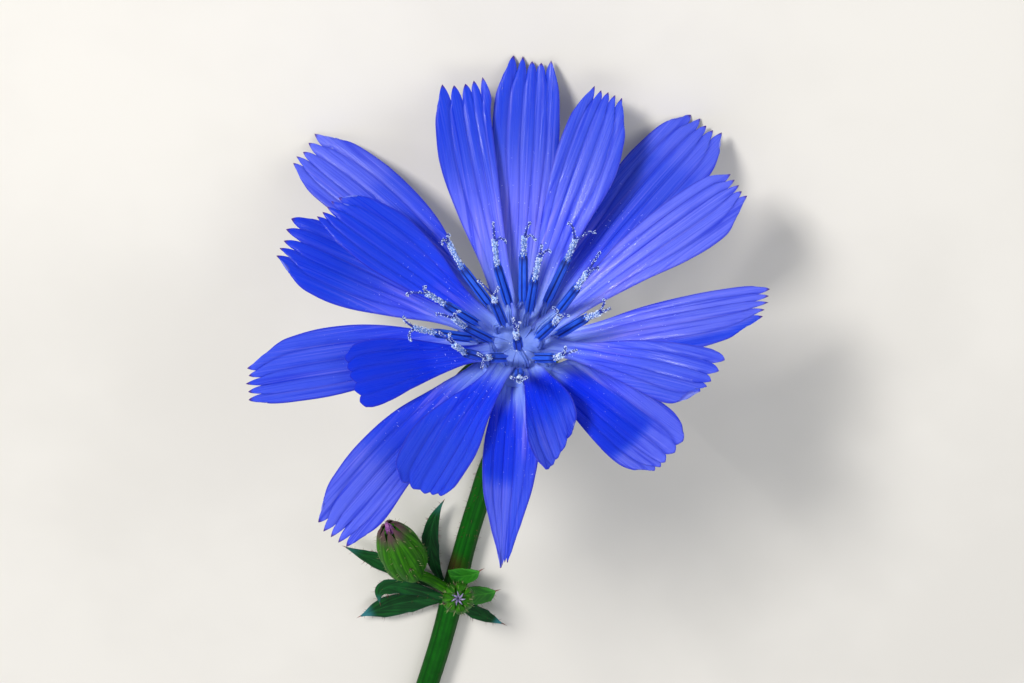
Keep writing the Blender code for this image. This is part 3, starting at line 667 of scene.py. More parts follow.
def path_frames(path: Sequence[Vector]) -> list[Frame]:
    """Two directions square to each place of a path, turned as little as can be.

    Args:
        path: the places.

    Returns:
        A side and a rise for each place.
    """
    ends = zip([path[0], *path], [*path[1:], path[-1]])
    tangents = [(after - before).normalized() for before, after in ends]
    start = UP if abs(tangents[0].z) < 0.9 else Vector((1.0, 0.0, 0.0))
    side = start.cross(tangents[0]).normalized()
    frames = []
    for index, tangent in enumerate(tangents):
        if index:
            side = tangents[index - 1].rotation_difference(tangent) @ side
        side = (side - tangent * side.dot(tangent)).normalized()
        frames.append((side, tangent.cross(side)))
    return frames


def spoke(across: Frame, turn: float) -> Vector:
    """The direction at a turn round a path, whose side and rise are given."""
    return across[0] * math.cos(turn) + across[1] * math.sin(turn)


def arc_shares(path: Sequence[Vector]) -> list[float]:
    """How far along a path its places are.

    Args:
        path: the places.

    Returns:
        Each place's share of the path's length.
    """
    lengths = [0.0]
    for before, after in zip(path, path[1:]):
        lengths.append(lengths[-1] + (after - before).length)
    return [length / lengths[-1] for length in lengths]


class Shape:
    """A piece in the making, joined from sheets, tubes, spikes and grains."""

    def __init__(self, *looks: Look) -> None:
        """Starts with nothing but the finishes that it will wear."""
        self.looks = looks
        self.mesh, _ = blank()

    def dress(self, faces: Iterable[bmesh.types.BMFace], look: Look) -> None:
        """Gives faces one of the piece's finishes."""
        for face in faces:
            face.material_index = self.looks.index(look)

    def join(self, part: bmesh.types.BMesh) -> None:
        """Takes in a closed part and turns its faces outward.

        Args:
            part: the part, which is used up.
        """
        bmesh.ops.recalc_face_normals(part, faces=part.faces)
        carrier = bpy.data.meshes.new("carrier")
        part.to_mesh(carrier)
        part.free()
        self.mesh.from_mesh(carrier)
        bpy.data.meshes.remove(carrier)

    def sheet(
        self,
        across: int,
        rows: int,
        point: Callable[[float, float], Spot],
        thickness: Callable[[float, float], float],
        front: Look,
        back: Look,
    ) -> None:
        """Adds a thin blade, closed all round.

        Args:
            across: squares from side to side.
            rows: squares from root to tip.
            point: the middle place and its marks at the shares across and along.
            thickness: the thickness at the same shares, in millimetres.
            front: the finish of its face.
            back: the finish of its back.
        """
        part, layers = blank()
        bmesh.ops.create_grid(part, x_segments=across, y_segments=rows, size=0.5)
        twin = part.verts.layers.int.new("twin")
        halves = []
        for index, vert in enumerate(part.verts):
            u, v = vert.co.x + 0.5, vert.co.y + 0.5
            place, marks = point(u, v)
            vert.co = place * MM
            vert[twin] = index
            halves.append(thickness(u, v) * MM / 2)
            mark(vert, layers, marks)
        part.normal_update()
        backs = list(part.faces)
        shifts = [vert.normal * half for vert, half in zip(part.verts, halves)]
        made = bmesh.ops.extrude_face_region(part, geom=backs, use_keep_orig=True)["geom"]
        tops = {item for item in made if isinstance(item, bmesh.types.BMVert)}
        for vert in part.verts:
            shift = shifts[vert[twin]]
            vert.co += shift if vert in tops else -shift
        self.dress(part.faces, front)
        self.dress(backs, back)
        self.join(part)

    def tube(
        self,
        path: Sequence[Vector],
        radii: Sequence[float],
        sides: int,
        look: Look,
        form: Callable[[float, float], float] = lambda turn, share: 1.0,
        end: Look | None = None,
        tone: float = 0.0,
    ) -> None:
        """Adds a closed tube along a path.

        Args:
            path: the places of its middle.
            radii: the radius at each place.
            sides: how many sides it has.
            look: its finish.
            form: what the radius is multiplied by, at a turn in radians and a share along.
            end: the finish of the last cap, where it differs.
            tone: the mark that tells it from others.
        """
        part, layers = blank()
        bmesh.ops.create_circle(part, cap_ends=True, segments=sides, radius=1.0)
        turns = part.verts.layers.float.new("turn")
        ring, cap = list(part.verts), list(part.faces)
        for vert in ring:
            vert[turns] = math.atan2(vert.co.y, vert.co.x)
        stations = zip(path, radii, path_frames(path), arc_shares(path))
        for index, (place, radius, across, share) in enumerate(stations):
            if index:
                first = index == 1
                made = bmesh.ops.extrude_face_region(part, geom=cap, use_keep_orig=first)["geom"]
                ring = [item for item in made if isinstance(item, bmesh.types.BMVert)]
                faces = [item for item in made if isinstance(item, bmesh.types.BMFace)]
                cap = [face for face in faces if set(ring).issuperset(face.verts)]
            for vert in ring:
                turn = vert[turns]
                factor = form(turn, share)
                vert.co = (place + spoke(across, turn) * radius * factor) * MM
                dent = clamp((1.0 - factor) * 6.0)
                mark(vert, layers, Marks(share, turn / math.pi, dent, tone=tone))
        self.dress(part.faces, look)
        self.dress(cap, end or look)
        self.join(part)

    def spikes(
        self, roots: Iterable[tuple[Vector, Vector, float]], radius: float, look: Look
    ) -> None:
        """Adds thin pointed hairs of three sides.

        Args:
            roots: where each stands, the way it points and its length.
            radius: the radius at the root.
            look: their finish.
        """
        part, _ = blank()
        for root, ahead, length in roots:
            turn = ahead.to_track_quat("Z", "Y").to_matrix().to_4x4()
            middle = Matrix.Translation((root + ahead.normalized() * length / 2) * MM)
            bmesh.ops.create_cone(
                part, cap_ends=True, segments=3, radius1=radius * MM, radius2=0.0,
                depth=length * MM, matrix=middle @ turn,
            )
        bmesh.ops.remove_doubles(part, verts=part.verts, dist=MELT)
        self.dress(part.faces, look)
        self.join(part)

    def grains(self, places: Iterable[tuple[Vector, float]], look: Look) -> None:
        """Adds small round grains.

        Args:
            places: where each lies, and its radius.
            look: their finish.
        """
        part, _ = blank()
        for place, radius in places:
            at = Matrix.Translation(place * MM)
            bmesh.ops.create_icosphere(part, subdivisions=1, radius=radius * MM, matrix=at)
        self.dress(part.faces, look)
        self.join(part)

    def turned(self, outline: Sequence[Pair], sides: int, matrix: Matrix, look: Look) -> None:
        """Adds a solid spun round the Z axis and moved by a matrix.

        Args:
            outline: radii and heights in millimetres, from axis to axis.
            sides: the number of steps round.
            matrix: what it is moved by.
            look: its finish.
        """
        part, layers = blank()
        verts = [part.verts.new((out * MM, 0.0, up * MM)) for out, up in outline]
        for index, vert in enumerate(verts):
            mark(vert, layers, Marks(index / (len(verts) - 1)))
        edges = [part.edges.new(pair) for pair in zip(verts, verts[1:])]
        bmesh.ops.spin(
            part, geom=verts + edges, cent=(0.0, 0.0, 0.0), axis=UP, angle=ROUND, steps=sides,
            use_merge=True,
        )
        bmesh.ops.remove_doubles(part, verts=part.verts, dist=MELT)
        bmesh.ops.transform(part, matrix=matrix, verts=part.verts)
        self.dress(part.faces, look)
        self.join(part)

    def lowest(self) -> float:
        """The height of the lowest vertex, in metres."""
        return min(vert.co.z for vert in self.mesh.verts)

    def rest_on_table(self, down: bool) -> None:
        """Bends the outer part up off the table, or down to it, like a limp blade.

        Args:
            down: whether a blade above the table bends down to it.
        """
        lowest = self.lowest()
        if lowest > 0.0 and not down:
            return
        throat = POSE.to_world(Vector()) * MM
        reach = max((vert.co - throat).length for vert in self.mesh.verts)
        for vert in self.mesh.verts:
            vert.co.z -= lowest * ((vert.co - throat).length / reach) ** 2

    def finish(self, node: str, word: str, slot: str) -> None:
        """Makes the piece and hands it to the frame.

        Args:
            node: the CAD node it stands for, which its name starts with.
            word: what its name ends with.
            slot: the record's material slot; not used.
        """
        name = node + "_" + word
        mesh = bpy.data.meshes.new(name)
        self.mesh.to_mesh(mesh)
        self.mesh.free()
        mesh.shade_smooth()
        mesh.set_sharp_from_angle(angle=math.radians(SHARP_ANGLE))
        for look in self.looks:
            mesh.materials.append(bpy.data.materials[name_of(look)])
        piece = bpy.data.objects.new(name, mesh)
        bpy.context.scene.collection.objects.link(piece)
        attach(piece, "root")
        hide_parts(node)
        mesh.calc_loop_triangles()
        log.info("%s: %d triangles", name, len(mesh.loop_triangles))


@dataclass(frozen=True)
class Ring:
    """Where a ring of florets stands, in distances from the head's axis and heights.

    Attributes:
        claw: the distance of the claws.
        exit_out: the distance at which they bend outward.
        exit_up: the height at which they do.
        foot_out: the distance of the columns' feet.
        foot_up: the height of the columns' feet.
    """

    claw: float
    exit_out: float
    exit_up: float
    foot_out: float
    foot_up: float


OUTER = Ring(2.75, 3.4, 0.35, 3.8, 1.35)
INNER = Ring(1.85, 2.4, 1.35, 2.6, 2.35)
LOW = replace(OUTER, foot_out=3.3, foot_up=1.25)


@dataclass(frozen=True)
class Floret:
    """One strap-shaped floret with five teeth.

    Attributes:
        number: its number, as in the node's name.
        ring: the ring it stands in.
        slot: its claw's place round the head's axis, in degrees.
        azimuth: where its tip shows, in degrees.
        reach: how far from the throat its tip shows.
        cone: the blade's rise over the plane square to the axis, in degrees.
        arch: how far it bows up.
        curl: how far its end bends down.
        cup: how far its edges stand up.
        slant: how far its end is cut aslant.
        left: half widths on one side, at STATIONS.
        right: half widths on the other side.
        painted_shades: how lit its inner and its outer part are painted, with 0 for the middle level.
        teeth: the length of its teeth as a share of the usual.
        change: from where to where along it the painted light moves from the inner level to the outer one, a
            painted shadow's edge.
        band: from where to where across a painted strip beside one edge sets in, and how lit that strip is
            painted.
    """

    number: int
    ring: Ring
    slot: float
    azimuth: float
    reach: float
    cone: float
    arch: float
    curl: float
    cup: float
    slant: float
    left: tuple[float, ...]
    right: tuple[float, ...]
    painted_shades: Pair = (0.0, 0.0)
    teeth: float = 1.0
    change: Pair = (0.35, 0.85)
    band: Triple = (1.0, 1.1, 0.0)

    STATIONS = (0.3, 0.5, 0.7, 0.85, 0.95, 1.0)
    RESTING = (3, 16)
    CLAW_ROWS = 3
    ROWS = 12
    CLAW_FOOT = -0.6
    CLAW_HALF_WIDTH = 0.66
    CLAW_FLARE = 0.3
    CLAW_GUTTER = 0.42
    FULL_HALF_WIDTH = 2.0
    LOBES = 5
    FURROW_WIDTH = 0.15
    RIDGE_HEIGHT = 0.085
    TOOTH_LENGTH = 0.95
    THICKNESS = 0.24
    EDGE_THICKNESS = 0.09
    SQUARES_ACROSS = 60
    SQUARES_ALONG = 84
    TIP_ROUNDS = 30
    # A curve's middle takes this share of its two control points' rise
    BOW = 0.75
    ROW_STEP = 0.05
    ROWS_CROWDED = 0.12
    CLAW_RISE = 0.8
    CLAW_LEAD = 0.5
    NOTCH_DEPTHS = (0.75, 1.45)
    TOOTH_REACHES = (-0.08, 0.3)
    WAVE_HEIGHTS = (0.06, 0.16)
    WAVE_COUNTS = (0.8, 1.6)
    WAVES_SET_IN = (0.15, 0.5)
    TEETH_SET_IN = (0.8, 1.0)
    GUTTER_END = 0.3
    DARK_TIP = 0.5
    THIN_RIM = 0.3
    RIM_SHARE = 0.3
    PATTERN_STEP = 11.0

    def tip(self) -> Vector:
        """Finds the blade's end from where it shows and its cone.

        Returns:
            The place round the head's axis.
        """
        angle, tilt = math.radians(self.azimuth), math.radians(POSE.head_tilt)
        x, y = self.reach * math.cos(angle), self.reach * math.sin(angle)
        slope = math.tan(math.radians(self.cone))
        depth = 0.0
        for _ in range(self.TIP_ROUNDS):
            level = y * math.cos(tilt) - depth * math.sin(tilt)
            up = self.ring.exit_up + (math.hypot(x, level) - self.ring.exit_out) * slope
            depth = (up - y * math.sin(tilt)) / math.cos(tilt)
        return Vector((x, level, up))

    def blade_share(self, row: float) -> float:
        """How far along the blade a row is, with rows closer at the tip."""
        share = max(0.0, row - self.CLAW_ROWS) / (self.ROWS - self.CLAW_ROWS)
        return share * (1 + self.ROWS_CROWDED * (1 - share))

    def centre_line(self) -> Callable[[float], Vector]:
        """The middle of the claw and blade.

        Returns:
            A function from the row to its middle, round the head's axis.
        """
        outward = polar(1.0, math.radians(self.slot))
        foot = outward * self.ring.claw + UP * self.CLAW_FOOT
        start = outward * self.ring.exit_out + UP * self.ring.exit_up
        tip = self.tip() - UP * self.curl
        third, bulge = (tip - start) / 3, UP * self.arch / self.BOW
        blade = (start, start + third + bulge, start + third * 2 + bulge, tip)
        leaving = (third + bulge).normalized()
        claw = (foot, foot + UP * self.CLAW_RISE, start - leaving * self.CLAW_LEAD, start)

        def centre(row: float) -> Vector:
            """The middle at a row.

            Args:
                row: the row, counted from the foot.

            Returns:
                The place round the head's axis.
            """
            if row < self.CLAW_ROWS:
                return curve_at(claw, row / self.CLAW_ROWS)
            share = self.blade_share(row)
            return curve_at(blade, share) + UP * self.curl * max(0.0, 2 * share - 1) ** 2

        return centre

    def build(self) -> None:
        """Makes the floret and puts it for its CAD node."""
        luck = random.Random(self.number)
        centre = self.centre_line()
        outward = polar(1.0, math.radians(self.slot))
        inner = self.ring.exit_out / self.reach
        stations = (inner, *self.STATIONS)
        length = (centre(self.ROWS) - centre(self.CLAW_ROWS)).length
        full = self.TOOTH_LENGTH * self.teeth
        notches = [full * luck.uniform(*self.NOTCH_DEPTHS) for _ in range(self.LOBES + 1)]
        reaches = [self.teeth * luck.uniform(*self.TOOTH_REACHES) for _ in range(self.LOBES)]
        wave, phase = luck.uniform(*self.WAVE_HEIGHTS), luck.uniform(0.0, ROUND)
        sway = luck.uniform(*self.WAVE_COUNTS)

        @cache
        def frame_at(row: float) -> tuple[Vector, Vector, Vector, Vector]:
            """The blade's place and ways at a row.

            Args:
                row: the row, counted from the foot.

            Returns:
                The middle and the ways to the side, out of the face and along.
            """
            before = centre(max(row - self.ROW_STEP, 0.0))
            after = centre(min(row + self.ROW_STEP, self.ROWS))
            tangent = (after - before).normalized()
            mix = min(row / self.CLAW_ROWS, 1.0)
            side = UP.cross(outward * (1 - mix) + Vector((tangent.x, tangent.y, 0.0)) * mix)
            side = (side - tangent * side.dot(tangent)).normalized()
            return centre(row), side, tangent.cross(side), tangent

        def tooth(u: float) -> float:
            """How far the end stands out.

            Args:
                u: the share across.

            Returns:
                The distance along the blade, below 0 in a notch.
            """
            lobe = min(int(u * self.LOBES), self.LOBES - 1)
            local = u * self.LOBES - lobe
            away = abs(2 * local - 1)
            notch = notches[lobe if local < 0.5 else lobe + 1]
            return reaches[lobe] * (1 - away) - notch * (0.5 * away + 0.5 * away ** 3)

        def point(u: float, v: float) -> Spot:
            """One place of the blade.

            Args:
                u: the share across.
                v: the share along.

            Returns:
                The middle of its thickness, over the table, and its marks.
            """
            row = v * self.ROWS
            middle, side, face, tangent = frame_at(row)
            across, share = 1 - 2 * u, self.blade_share(row)
            half = self.CLAW_HALF_WIDTH * (1 + self.CLAW_FLARE * min(row / self.CLAW_ROWS, 1.0))
            if row > self.CLAW_ROWS:
                halves = (half, *(self.left if across > 0 else self.right))
                half = blend(stations, halves, inner + share * (1 - inner))
            body = min(1.0, half / self.FULL_HALF_WIDTH)
            lobe = abs(math.sin(math.pi * self.LOBES * u))
            furrow = bell(math.asin(lobe) / math.pi, self.FURROW_WIDTH)
            lift = self.RIDGE_HEIGHT * body ** 2 * (1 - furrow)
            lift += self.cup * (across * body) ** 2 * min(1.0, 2 * share)
            lift += self.CLAW_GUTTER * across ** 2 * (1 - ease(0.0, self.GUTTER_END, share))
            beat = ROUND * sway * share
            waves = across ** 3 * math.sin(beat + phase) + 0.5 * math.sin(beat + 2 * phase + across)
            lift += wave * waves * ease(*self.WAVES_SET_IN, share)
            ends = (0.4 + 0.6 * body) * tooth(u) * ease(*self.TEETH_SET_IN, share) ** 2
            place = middle + side * (across * half) + face * lift
            place += tangent * (self.slant * across * share ** 2 + ends)
            ahead = (1 - share) * length
            rim = min(half * (1 - abs(across)), ahead + 0.02)
            tip = (1 - ease(0.0, self.DARK_TIP, ahead)) * lobe ** 3 * min(self.teeth, 1.0)
            # Painted light and shade: the inner level gives way to the outer one at a painted shadow's edge,
            # and a painted strip beside one edge has its own level
            tone = self.painted_shades[0] + (self.painted_shades[1] - self.painted_shades[0]) * ease(*self.change, share)
            tone += (self.band[2] - tone) * ease(*self.band[:2], across)
            width = across * half + self.PATTERN_STEP * self.number
            edge = 1 - ease(0.0, self.THIN_RIM, rim)
            marks = Marks(share, width, furrow, edge, tip, tone)
            return POSE.head_to_world(place), marks

        def thickness(u: float, v: float) -> float:
            """The thickness, which falls toward the rim.

            Args:
                u: the share across.
                v: the share along.

            Returns:
                The thickness in millimetres.
            """
            rim = min(1 - abs(1 - 2 * u), (1 - v) * 4)
            more = self.THICKNESS - self.EDGE_THICKNESS
            return self.EDGE_THICKNESS + more * ease(0.0, self.RIM_SHARE, rim)

        looks = (Look.PETAL_FRONT, Look.PETAL_BACK)
        shape = Shape(*looks)
        shape.sheet(self.SQUARES_ACROSS, self.SQUARES_ALONG, point, thickness, *looks)
        shape.rest_on_table(down=self.number in self.RESTING)
        shape.finish("floret_%02d" % self.number, "petal", "petal_blue")


# In each row, the pair after the two rows of half widths is the floret's painted light and shade, inner and
# outer; the ranges and triples at the end place a painted shadow's edge and a painted strip, lighter on some
# florets and darker on others, beside one edge
FLORETS = (
    Floret(1, OUTER, 88, 87, 23.2, 23.3, 0.5, 0.0, 0.3, 0.2,
           (1.3, 2.0, 2.8, 2.8, 2.3, 1.9), (1.3, 2.0, 2.5, 2.4, 2.2, 1.9), (0.75, -0.4)),
    Floret(2, INNER, 69, 70.5, 21.7, 20.5, 0.8, 0.0, 0.3, 0.1,
           (0.9, 1.7, 2.2, 2.2, 1.9, 1.5), (1.2, 2.1, 2.9, 2.6, 2.0, 1.5), (0.35, 0.0)),
    Floret(3, OUTER, 49, 51.6, 24.65, 6.0, 0.9, 0.0, 0.3, 0.0,
           (1.3, 2.2, 3.1, 3.0, 2.6, 1.9), (1.3, 2.1, 3.0, 3.1, 2.5, 1.7), (-0.1, 0.25),
           change=(0.7, 0.85)),
    Floret(4, INNER, 30, 36.6, 21.7, 18.0, 0.8, 0.0, 0.3, -0.1,
           (1.0, 1.8, 2.2, 2.2, 2.0, 1.4), (1.1, 1.9, 2.8, 2.9, 2.1, 1.4), (0.55, 0.4)),
    Floret(5, OUTER, 8, 10.8, 19.9, 16.0, 0.6, 0.0, 0.3, 0.7,
           (0.9, 1.4, 1.6, 1.6, 1.5, 1.3), (1.3, 2.3, 2.9, 2.6, 2.0, 1.4), (0.65, 0.4),
           band=(-0.6, -0.85, -0.5)),
    Floret(6, INNER, 353, -9, 15.2, 20.0, 0.8, 0.0, 0.4, 0.6,
           (0.8, 1.4, 2.0, 2.4, 2.5, 2.4), (0.8, 1.5, 2.4, 2.9, 2.5, 1.4), (0.2, 0.1), 0.6),
    Floret(7, OUTER, 322, -37, 14.4, 18.0, 0.5, 0.8, 0.6, 0.0,
           (2.8, 3.1, 3.4, 3.5, 3.1, 2.6), (0.9, 1.8, 2.4, 2.6, 2.2, 1.4), (-0.95, 0.35), 0.45,
           (0.7, 0.8), (0.3, 0.7, 0.3)),
    Floret(8, INNER, 291, -69, 8.8, 24.0, 0.4, 1.0, 1.3, -1.8,
           (1.2, 2.0, 2.4, 2.4, 2.2, 1.9), (0.5, 1.0, 1.6, 1.9, 1.7, 1.3), (-0.9, 0.0), 0.25),
    Floret(9, OUTER, 265, -94, 16.3, 18.0, 0.6, 0.3, 1.0, -0.45,
           (1.4, 2.3, 2.0, 1.25, 0.75, 0.45), (1.5, 2.0, 1.8, 1.0, 0.4, 0.15), (-0.75, 0.25), 1.2,
           (0.5, 0.62), (0.05, 0.45, -0.1)),
    Floret(10, INNER, 240, -123, 13.0, 20.0, 0.6, 0.8, 0.7, -0.4,
           (0.9, 1.3, 1.9, 1.9, 1.8, 1.5), (1.1, 2.3, 3.3, 3.3, 3.0, 2.3), (-0.5, -0.4), 0.3),
    Floret(11, OUTER, 215, -135, 20.0, 15.0, 0.6, 0.0, 0.4, 0.1,
           (1.2, 1.7, 2.0, 2.4, 2.1, 1.8), (1.6, 2.8, 3.2, 2.9, 2.3, 1.8), (-0.35, 0.35),
           change=(0.5, 0.7)),
    Floret(12, INNER, 201, -171, 13.2, 18.0, 0.6, 0.5, 0.5, -0.1,
           (0.6, 1.2, 2.1, 2.8, 3.0, 2.9), (0.9, 1.6, 2.3, 2.6, 2.4, 1.8), (-0.5, -1.4), 0.3,
           (0.3, 0.6)),
    Floret(13, OUTER, 187, -173, 21.2, 12.0, 0.7, 0.0, 0.4, 0.3,
           (1.2, 1.7, 2.3, 2.3, 2.1, 1.8), (2.1, 3.1, 3.4, 3.0, 2.1, 1.5), (-0.15, 0.0)),
    Floret(14, OUTER, 154, 155, 20.5, 12.0, 0.6, 0.0, 0.3, -0.2,
           (0.9, 2.2, 3.2, 3.2, 2.5, 1.8), (0.8, 1.4, 2.3, 2.7, 2.6, 2.4), (0.3, -0.75)),
    Floret(15, INNER, 146, 143, 18.7, 17.0, 0.7, 0.0, 0.3, 0.2,
           (1.0, 1.8, 2.3, 2.1, 1.8, 1.4), (1.1, 2.3, 3.0, 2.7, 2.2, 1.4), (-0.5, -0.7)),
    Floret(16, OUTER, 130, 134.8, 24.7, 1.5, 1.1, 0.0, 0.3, -0.4,
           (0.8, 1.5, 2.4, 2.5, 2.1, 1.6), (1.4, 2.9, 3.4, 3.2, 2.7, 2.2), (-0.05, 0.3), 1.3,
           (0.62, 0.72)),
    Floret(17, INNER, 107, 101, 21.7, 21.6, 0.8, 0.0, 0.3, 0.0,
           (1.4, 2.5, 3.2, 3.0, 2.6, 2.3), (0.8, 1.0, 1.3, 1.5, 1.8, 1.8), (0.7, -0.5)),
)


@dataclass(frozen=True)
class Column:
    """One anther column: filaments, the fused anthers, and the style with two branches.

    Attributes:
        floret: the number of the floret it belongs to.
        azimuth: its foot's place round the head's axis, in degrees.
        ring: the ring its foot stands in.
        base: where the tube's lower end shows.
        top: where the tube's upper end shows.
        fork: where the style's end shows.
        tips: where the tips of the two branches show.
    """

    floret: int
    azimuth: float
    ring: Ring
    base: Pair
    top: Pair
    fork: Pair
    tips: tuple[Pair, Pair]

    TUBE_LENGTH = 4.2
    STYLE_LENGTH = 2.8
    BRANCH_LENGTH = 1.5
    BASE_UP = 3.5
    FOOT_UP = -0.1
    FOOT_IN = 0.78
    FOOT_BACK = 0.45
    STRANDS = 5
    STRAND_RADIUS = 0.085
    STRAND_SPREAD = 0.15
    TUBE_RADIUS = 0.41
    TUBE_WIDTHS = (
        (0.0, 0.62), (0.03, 0.84), (0.07, 0.95), (0.14, 1.0), (0.28, 1.0), (0.42, 0.98),
        (0.56, 0.96), (0.7, 0.96), (0.82, 0.95), (0.91, 0.92), (0.97, 0.82), (1.0, 0.6),
    )
    TUBE_SIDES = 30
    SEAM_DEPTH = 0.17
    POINT_RADIUS = 0.1
    POINT_LENGTH = 0.5
    TAIL_LENGTH = 0.55
    STYLE_RADIUS = 0.17
    STYLE_LEAN = 0.8
    STYLE_SIDES = 10
    BRANCH_RADIUS = 0.085
    BRANCH_LEAN = 0.5
    BRANCH_SIDES = 8
    BRANCH_GRAINS = 0.36
    BRANCH_GRAIN_SIZE = 0.72
    LEAST_RISE = 0.2
    KNEE = (0.45, 0.45, 0.6)
    STRAND_SIDES = 7
    STRAND_OVERRUN = 0.12
    GRAINS = 130
    GRAIN_RADII = (0.035, 0.064)
    HAIRS = 45
    HAIR_LENGTHS = (0.14, 0.24)
    HAIR_RADIUS = 0.028

    @staticmethod
    def step(start: Vector, shown: Pair, length: float, away: float) -> Vector:
        """One straight step of a column.

        Args:
            start: where it starts.
            shown: where its end shows.
            length: how far it goes.
            away: how much of its rise goes toward the viewer.

        Returns:
            Its end, as looked at.
        """
        ahead = POSE.seen(*shown, start.z)
        flat = Vector((ahead.x - start.x, ahead.y - start.y))
        rise = math.sqrt(max(length ** 2 - flat.length ** 2, Column.LEAST_RISE ** 2))
        return POSE.seen(*shown, start.z + away * rise)

    def joints(self) -> list[Vector]:
        """Finds the places that the column passes.

        Returns:
            Foot, knee, tube's base and top, fork and the two tips, over the table.
        """
        tilt, turn = math.radians(POSE.head_tilt), POSE.head_turn
        out = self.ring.foot_out * self.FOOT_IN
        foot = turn @ polar(out, math.radians(self.azimuth), self.ring.foot_up)
        depth = (self.BASE_UP - self.base[1] * math.sin(tilt)) / math.cos(tilt)
        base = POSE.seen(*self.base, depth)
        top = self.step(base, self.top, self.TUBE_LENGTH, 1.0)
        fork = self.step(top, self.fork, self.STYLE_LENGTH, self.STYLE_LEAN)
        tips = [
            self.step(fork, shown, self.BRANCH_LENGTH, self.BRANCH_LEAN) for shown in self.tips
        ]
        shift = turn.transposed() @ (base - foot)
        knee = foot + turn @ (shift * Vector(self.KNEE))
        return [POSE.to_world(place) for place in (foot, knee, base, top, fork, *tips)]

    def add_strands(self, shape: Shape, foot: Vector, knee: Vector, base: Vector) -> None:
        """Adds the five filaments, from the floret's throat to the tube.

        Args:
            shape: what they join.
            foot: their foot.
            knee: their bend.
            base: the tube's base.
        """
        out = self.ring.foot_out * self.FOOT_IN - self.FOOT_BACK
        down = polar(out, math.radians(self.azimuth), self.ring.foot_up * self.FOOT_UP)
        end = base.lerp(knee, -self.STRAND_OVERRUN)
        line = smooth_path([POSE.head_to_world(down), foot, knee, end], 5)
        frames, shares = path_frames(line), arc_shares(line)
        spreads = [self.STRAND_SPREAD * (0.7 + 0.5 * math.sin(math.pi * at)) for at in shares]
        for index in range(self.STRANDS):
            turn = ROUND * index / self.STRANDS
            places = zip(line, frames, spreads)
            strand = [place + spoke(across, turn) * spread for place, across, spread in places]
            radii = [self.STRAND_RADIUS] * len(strand)
            shape.tube(strand, radii, self.STRAND_SIDES, Look.FILAMENT)

    def add_anthers(self, shape: Shape, base: Vector, top: Vector) -> None:
        """Adds the tube with its pointed tails and tips.

        Args:
            shape: what it joins.
            base: its base.
            top: its top.
        """

        def form(turn: float, share: float) -> float:
            """The tube's seams."""
            return 1.0 - self.SEAM_DEPTH * (0.5 + 0.5 * math.cos(self.STRANDS * turn)) ** 3

        path = [base.lerp(top, share) for share, _ in self.TUBE_WIDTHS]
        radii = [self.TUBE_RADIUS * width for _, width in self.TUBE_WIDTHS]
        shape.tube(path, radii, self.TUBE_SIDES, Look.ANTHER, form, tone=self.floret)
        along = (top - base).normalized()
        points = []
        for index in range(self.STRANDS):
            out = spoke(path_frames([base, top])[0], ROUND * (index + 0.5) / self.STRANDS)
            head, tail = top + out * 0.24 - along * 0.1, base + out * 0.3 + along * 0.15
            points.append((head, along + out * 0.25, self.POINT_LENGTH))
            points.append((tail, out * 0.2 - along, self.TAIL_LENGTH))
        shape.spikes(points, self.POINT_RADIUS, Look.ANTHER)

    def add_style(self, shape: Shape, top: Vector, fork: Vector, tips: Sequence[Vector]) -> None:
        """Adds the style and its two curling branches, with hairs and pollen.

        Args:
            shape: what it joins.
            top: the tube's top.
            fork: the style's end.
            tips: the ends of its branches.
        """
        luck = random.Random(100 + self.floret)
        ahead = (fork - top).normalized()
        stem = smooth_path([top - ahead * 0.3, top.lerp(fork, 0.5), fork], 6)
        radii = [self.STYLE_RADIUS * (1.0 + 0.12 * share) for share in arc_shares(stem)]
        shape.tube(stem, radii, self.STYLE_SIDES, Look.STYLE)
        arms = [(stem, radii, 1.0, 1.0)]
        for tip in tips:
            bend = fork.lerp(tip, 0.5) + ahead * 0.22
            curl = tip + (tip - fork).normalized() * 0.12 - ahead * 0.3
            arm = smooth_path([fork - ahead * 0.2, bend, tip, curl], 5)
            sizes = [self.BRANCH_RADIUS * (1.2 - 0.45 * share) for share in arc_shares(arm)]
            shape.tube(arm, sizes, self.BRANCH_SIDES, Look.HAIR_BLUE)
            arms.append((arm, sizes, self.BRANCH_GRAINS, self.BRANCH_GRAIN_SIZE))
        grains, hairs = [], []
        for arm, sizes, weight, scale in arms:
            frames = path_frames(arm)
            for number in range(int((self.GRAINS + self.HAIRS) * weight)):
                at = luck.randrange(1, len(arm))
                place = arm[at - 1].lerp(arm[at], luck.random())
                out = spoke(frames[at], luck.uniform(0.0, ROUND))
                if number < self.GRAINS * weight:
                    size = luck.uniform(*self.GRAIN_RADII) * scale
                    grains.append((place + out * (sizes[at] + size * 0.6), size))
                else:
                    lean = (out + ahead * 0.5).normalized()
                    length = luck.uniform(*self.HAIR_LENGTHS)
                    hairs.append((place + out * sizes[at] * 0.9, lean, length))
        shape.grains(grains, Look.POLLEN)
        shape.spikes(hairs, self.HAIR_RADIUS, Look.HAIR_BLUE)

    def build(self) -> None:
        """Makes the column and puts it for its CAD node."""
        foot, knee, base, top, fork, *tips = self.joints()
        shape = Shape(Look.ANTHER, Look.FILAMENT, Look.STYLE, Look.POLLEN, Look.HAIR_BLUE)
        self.add_strands(shape, foot, knee, base)
        self.add_anthers(shape, base, top)
        self.add_style(shape, top, fork, tips)
        shape.finish("column_%02d" % self.floret, "anthers", "anther_blue")


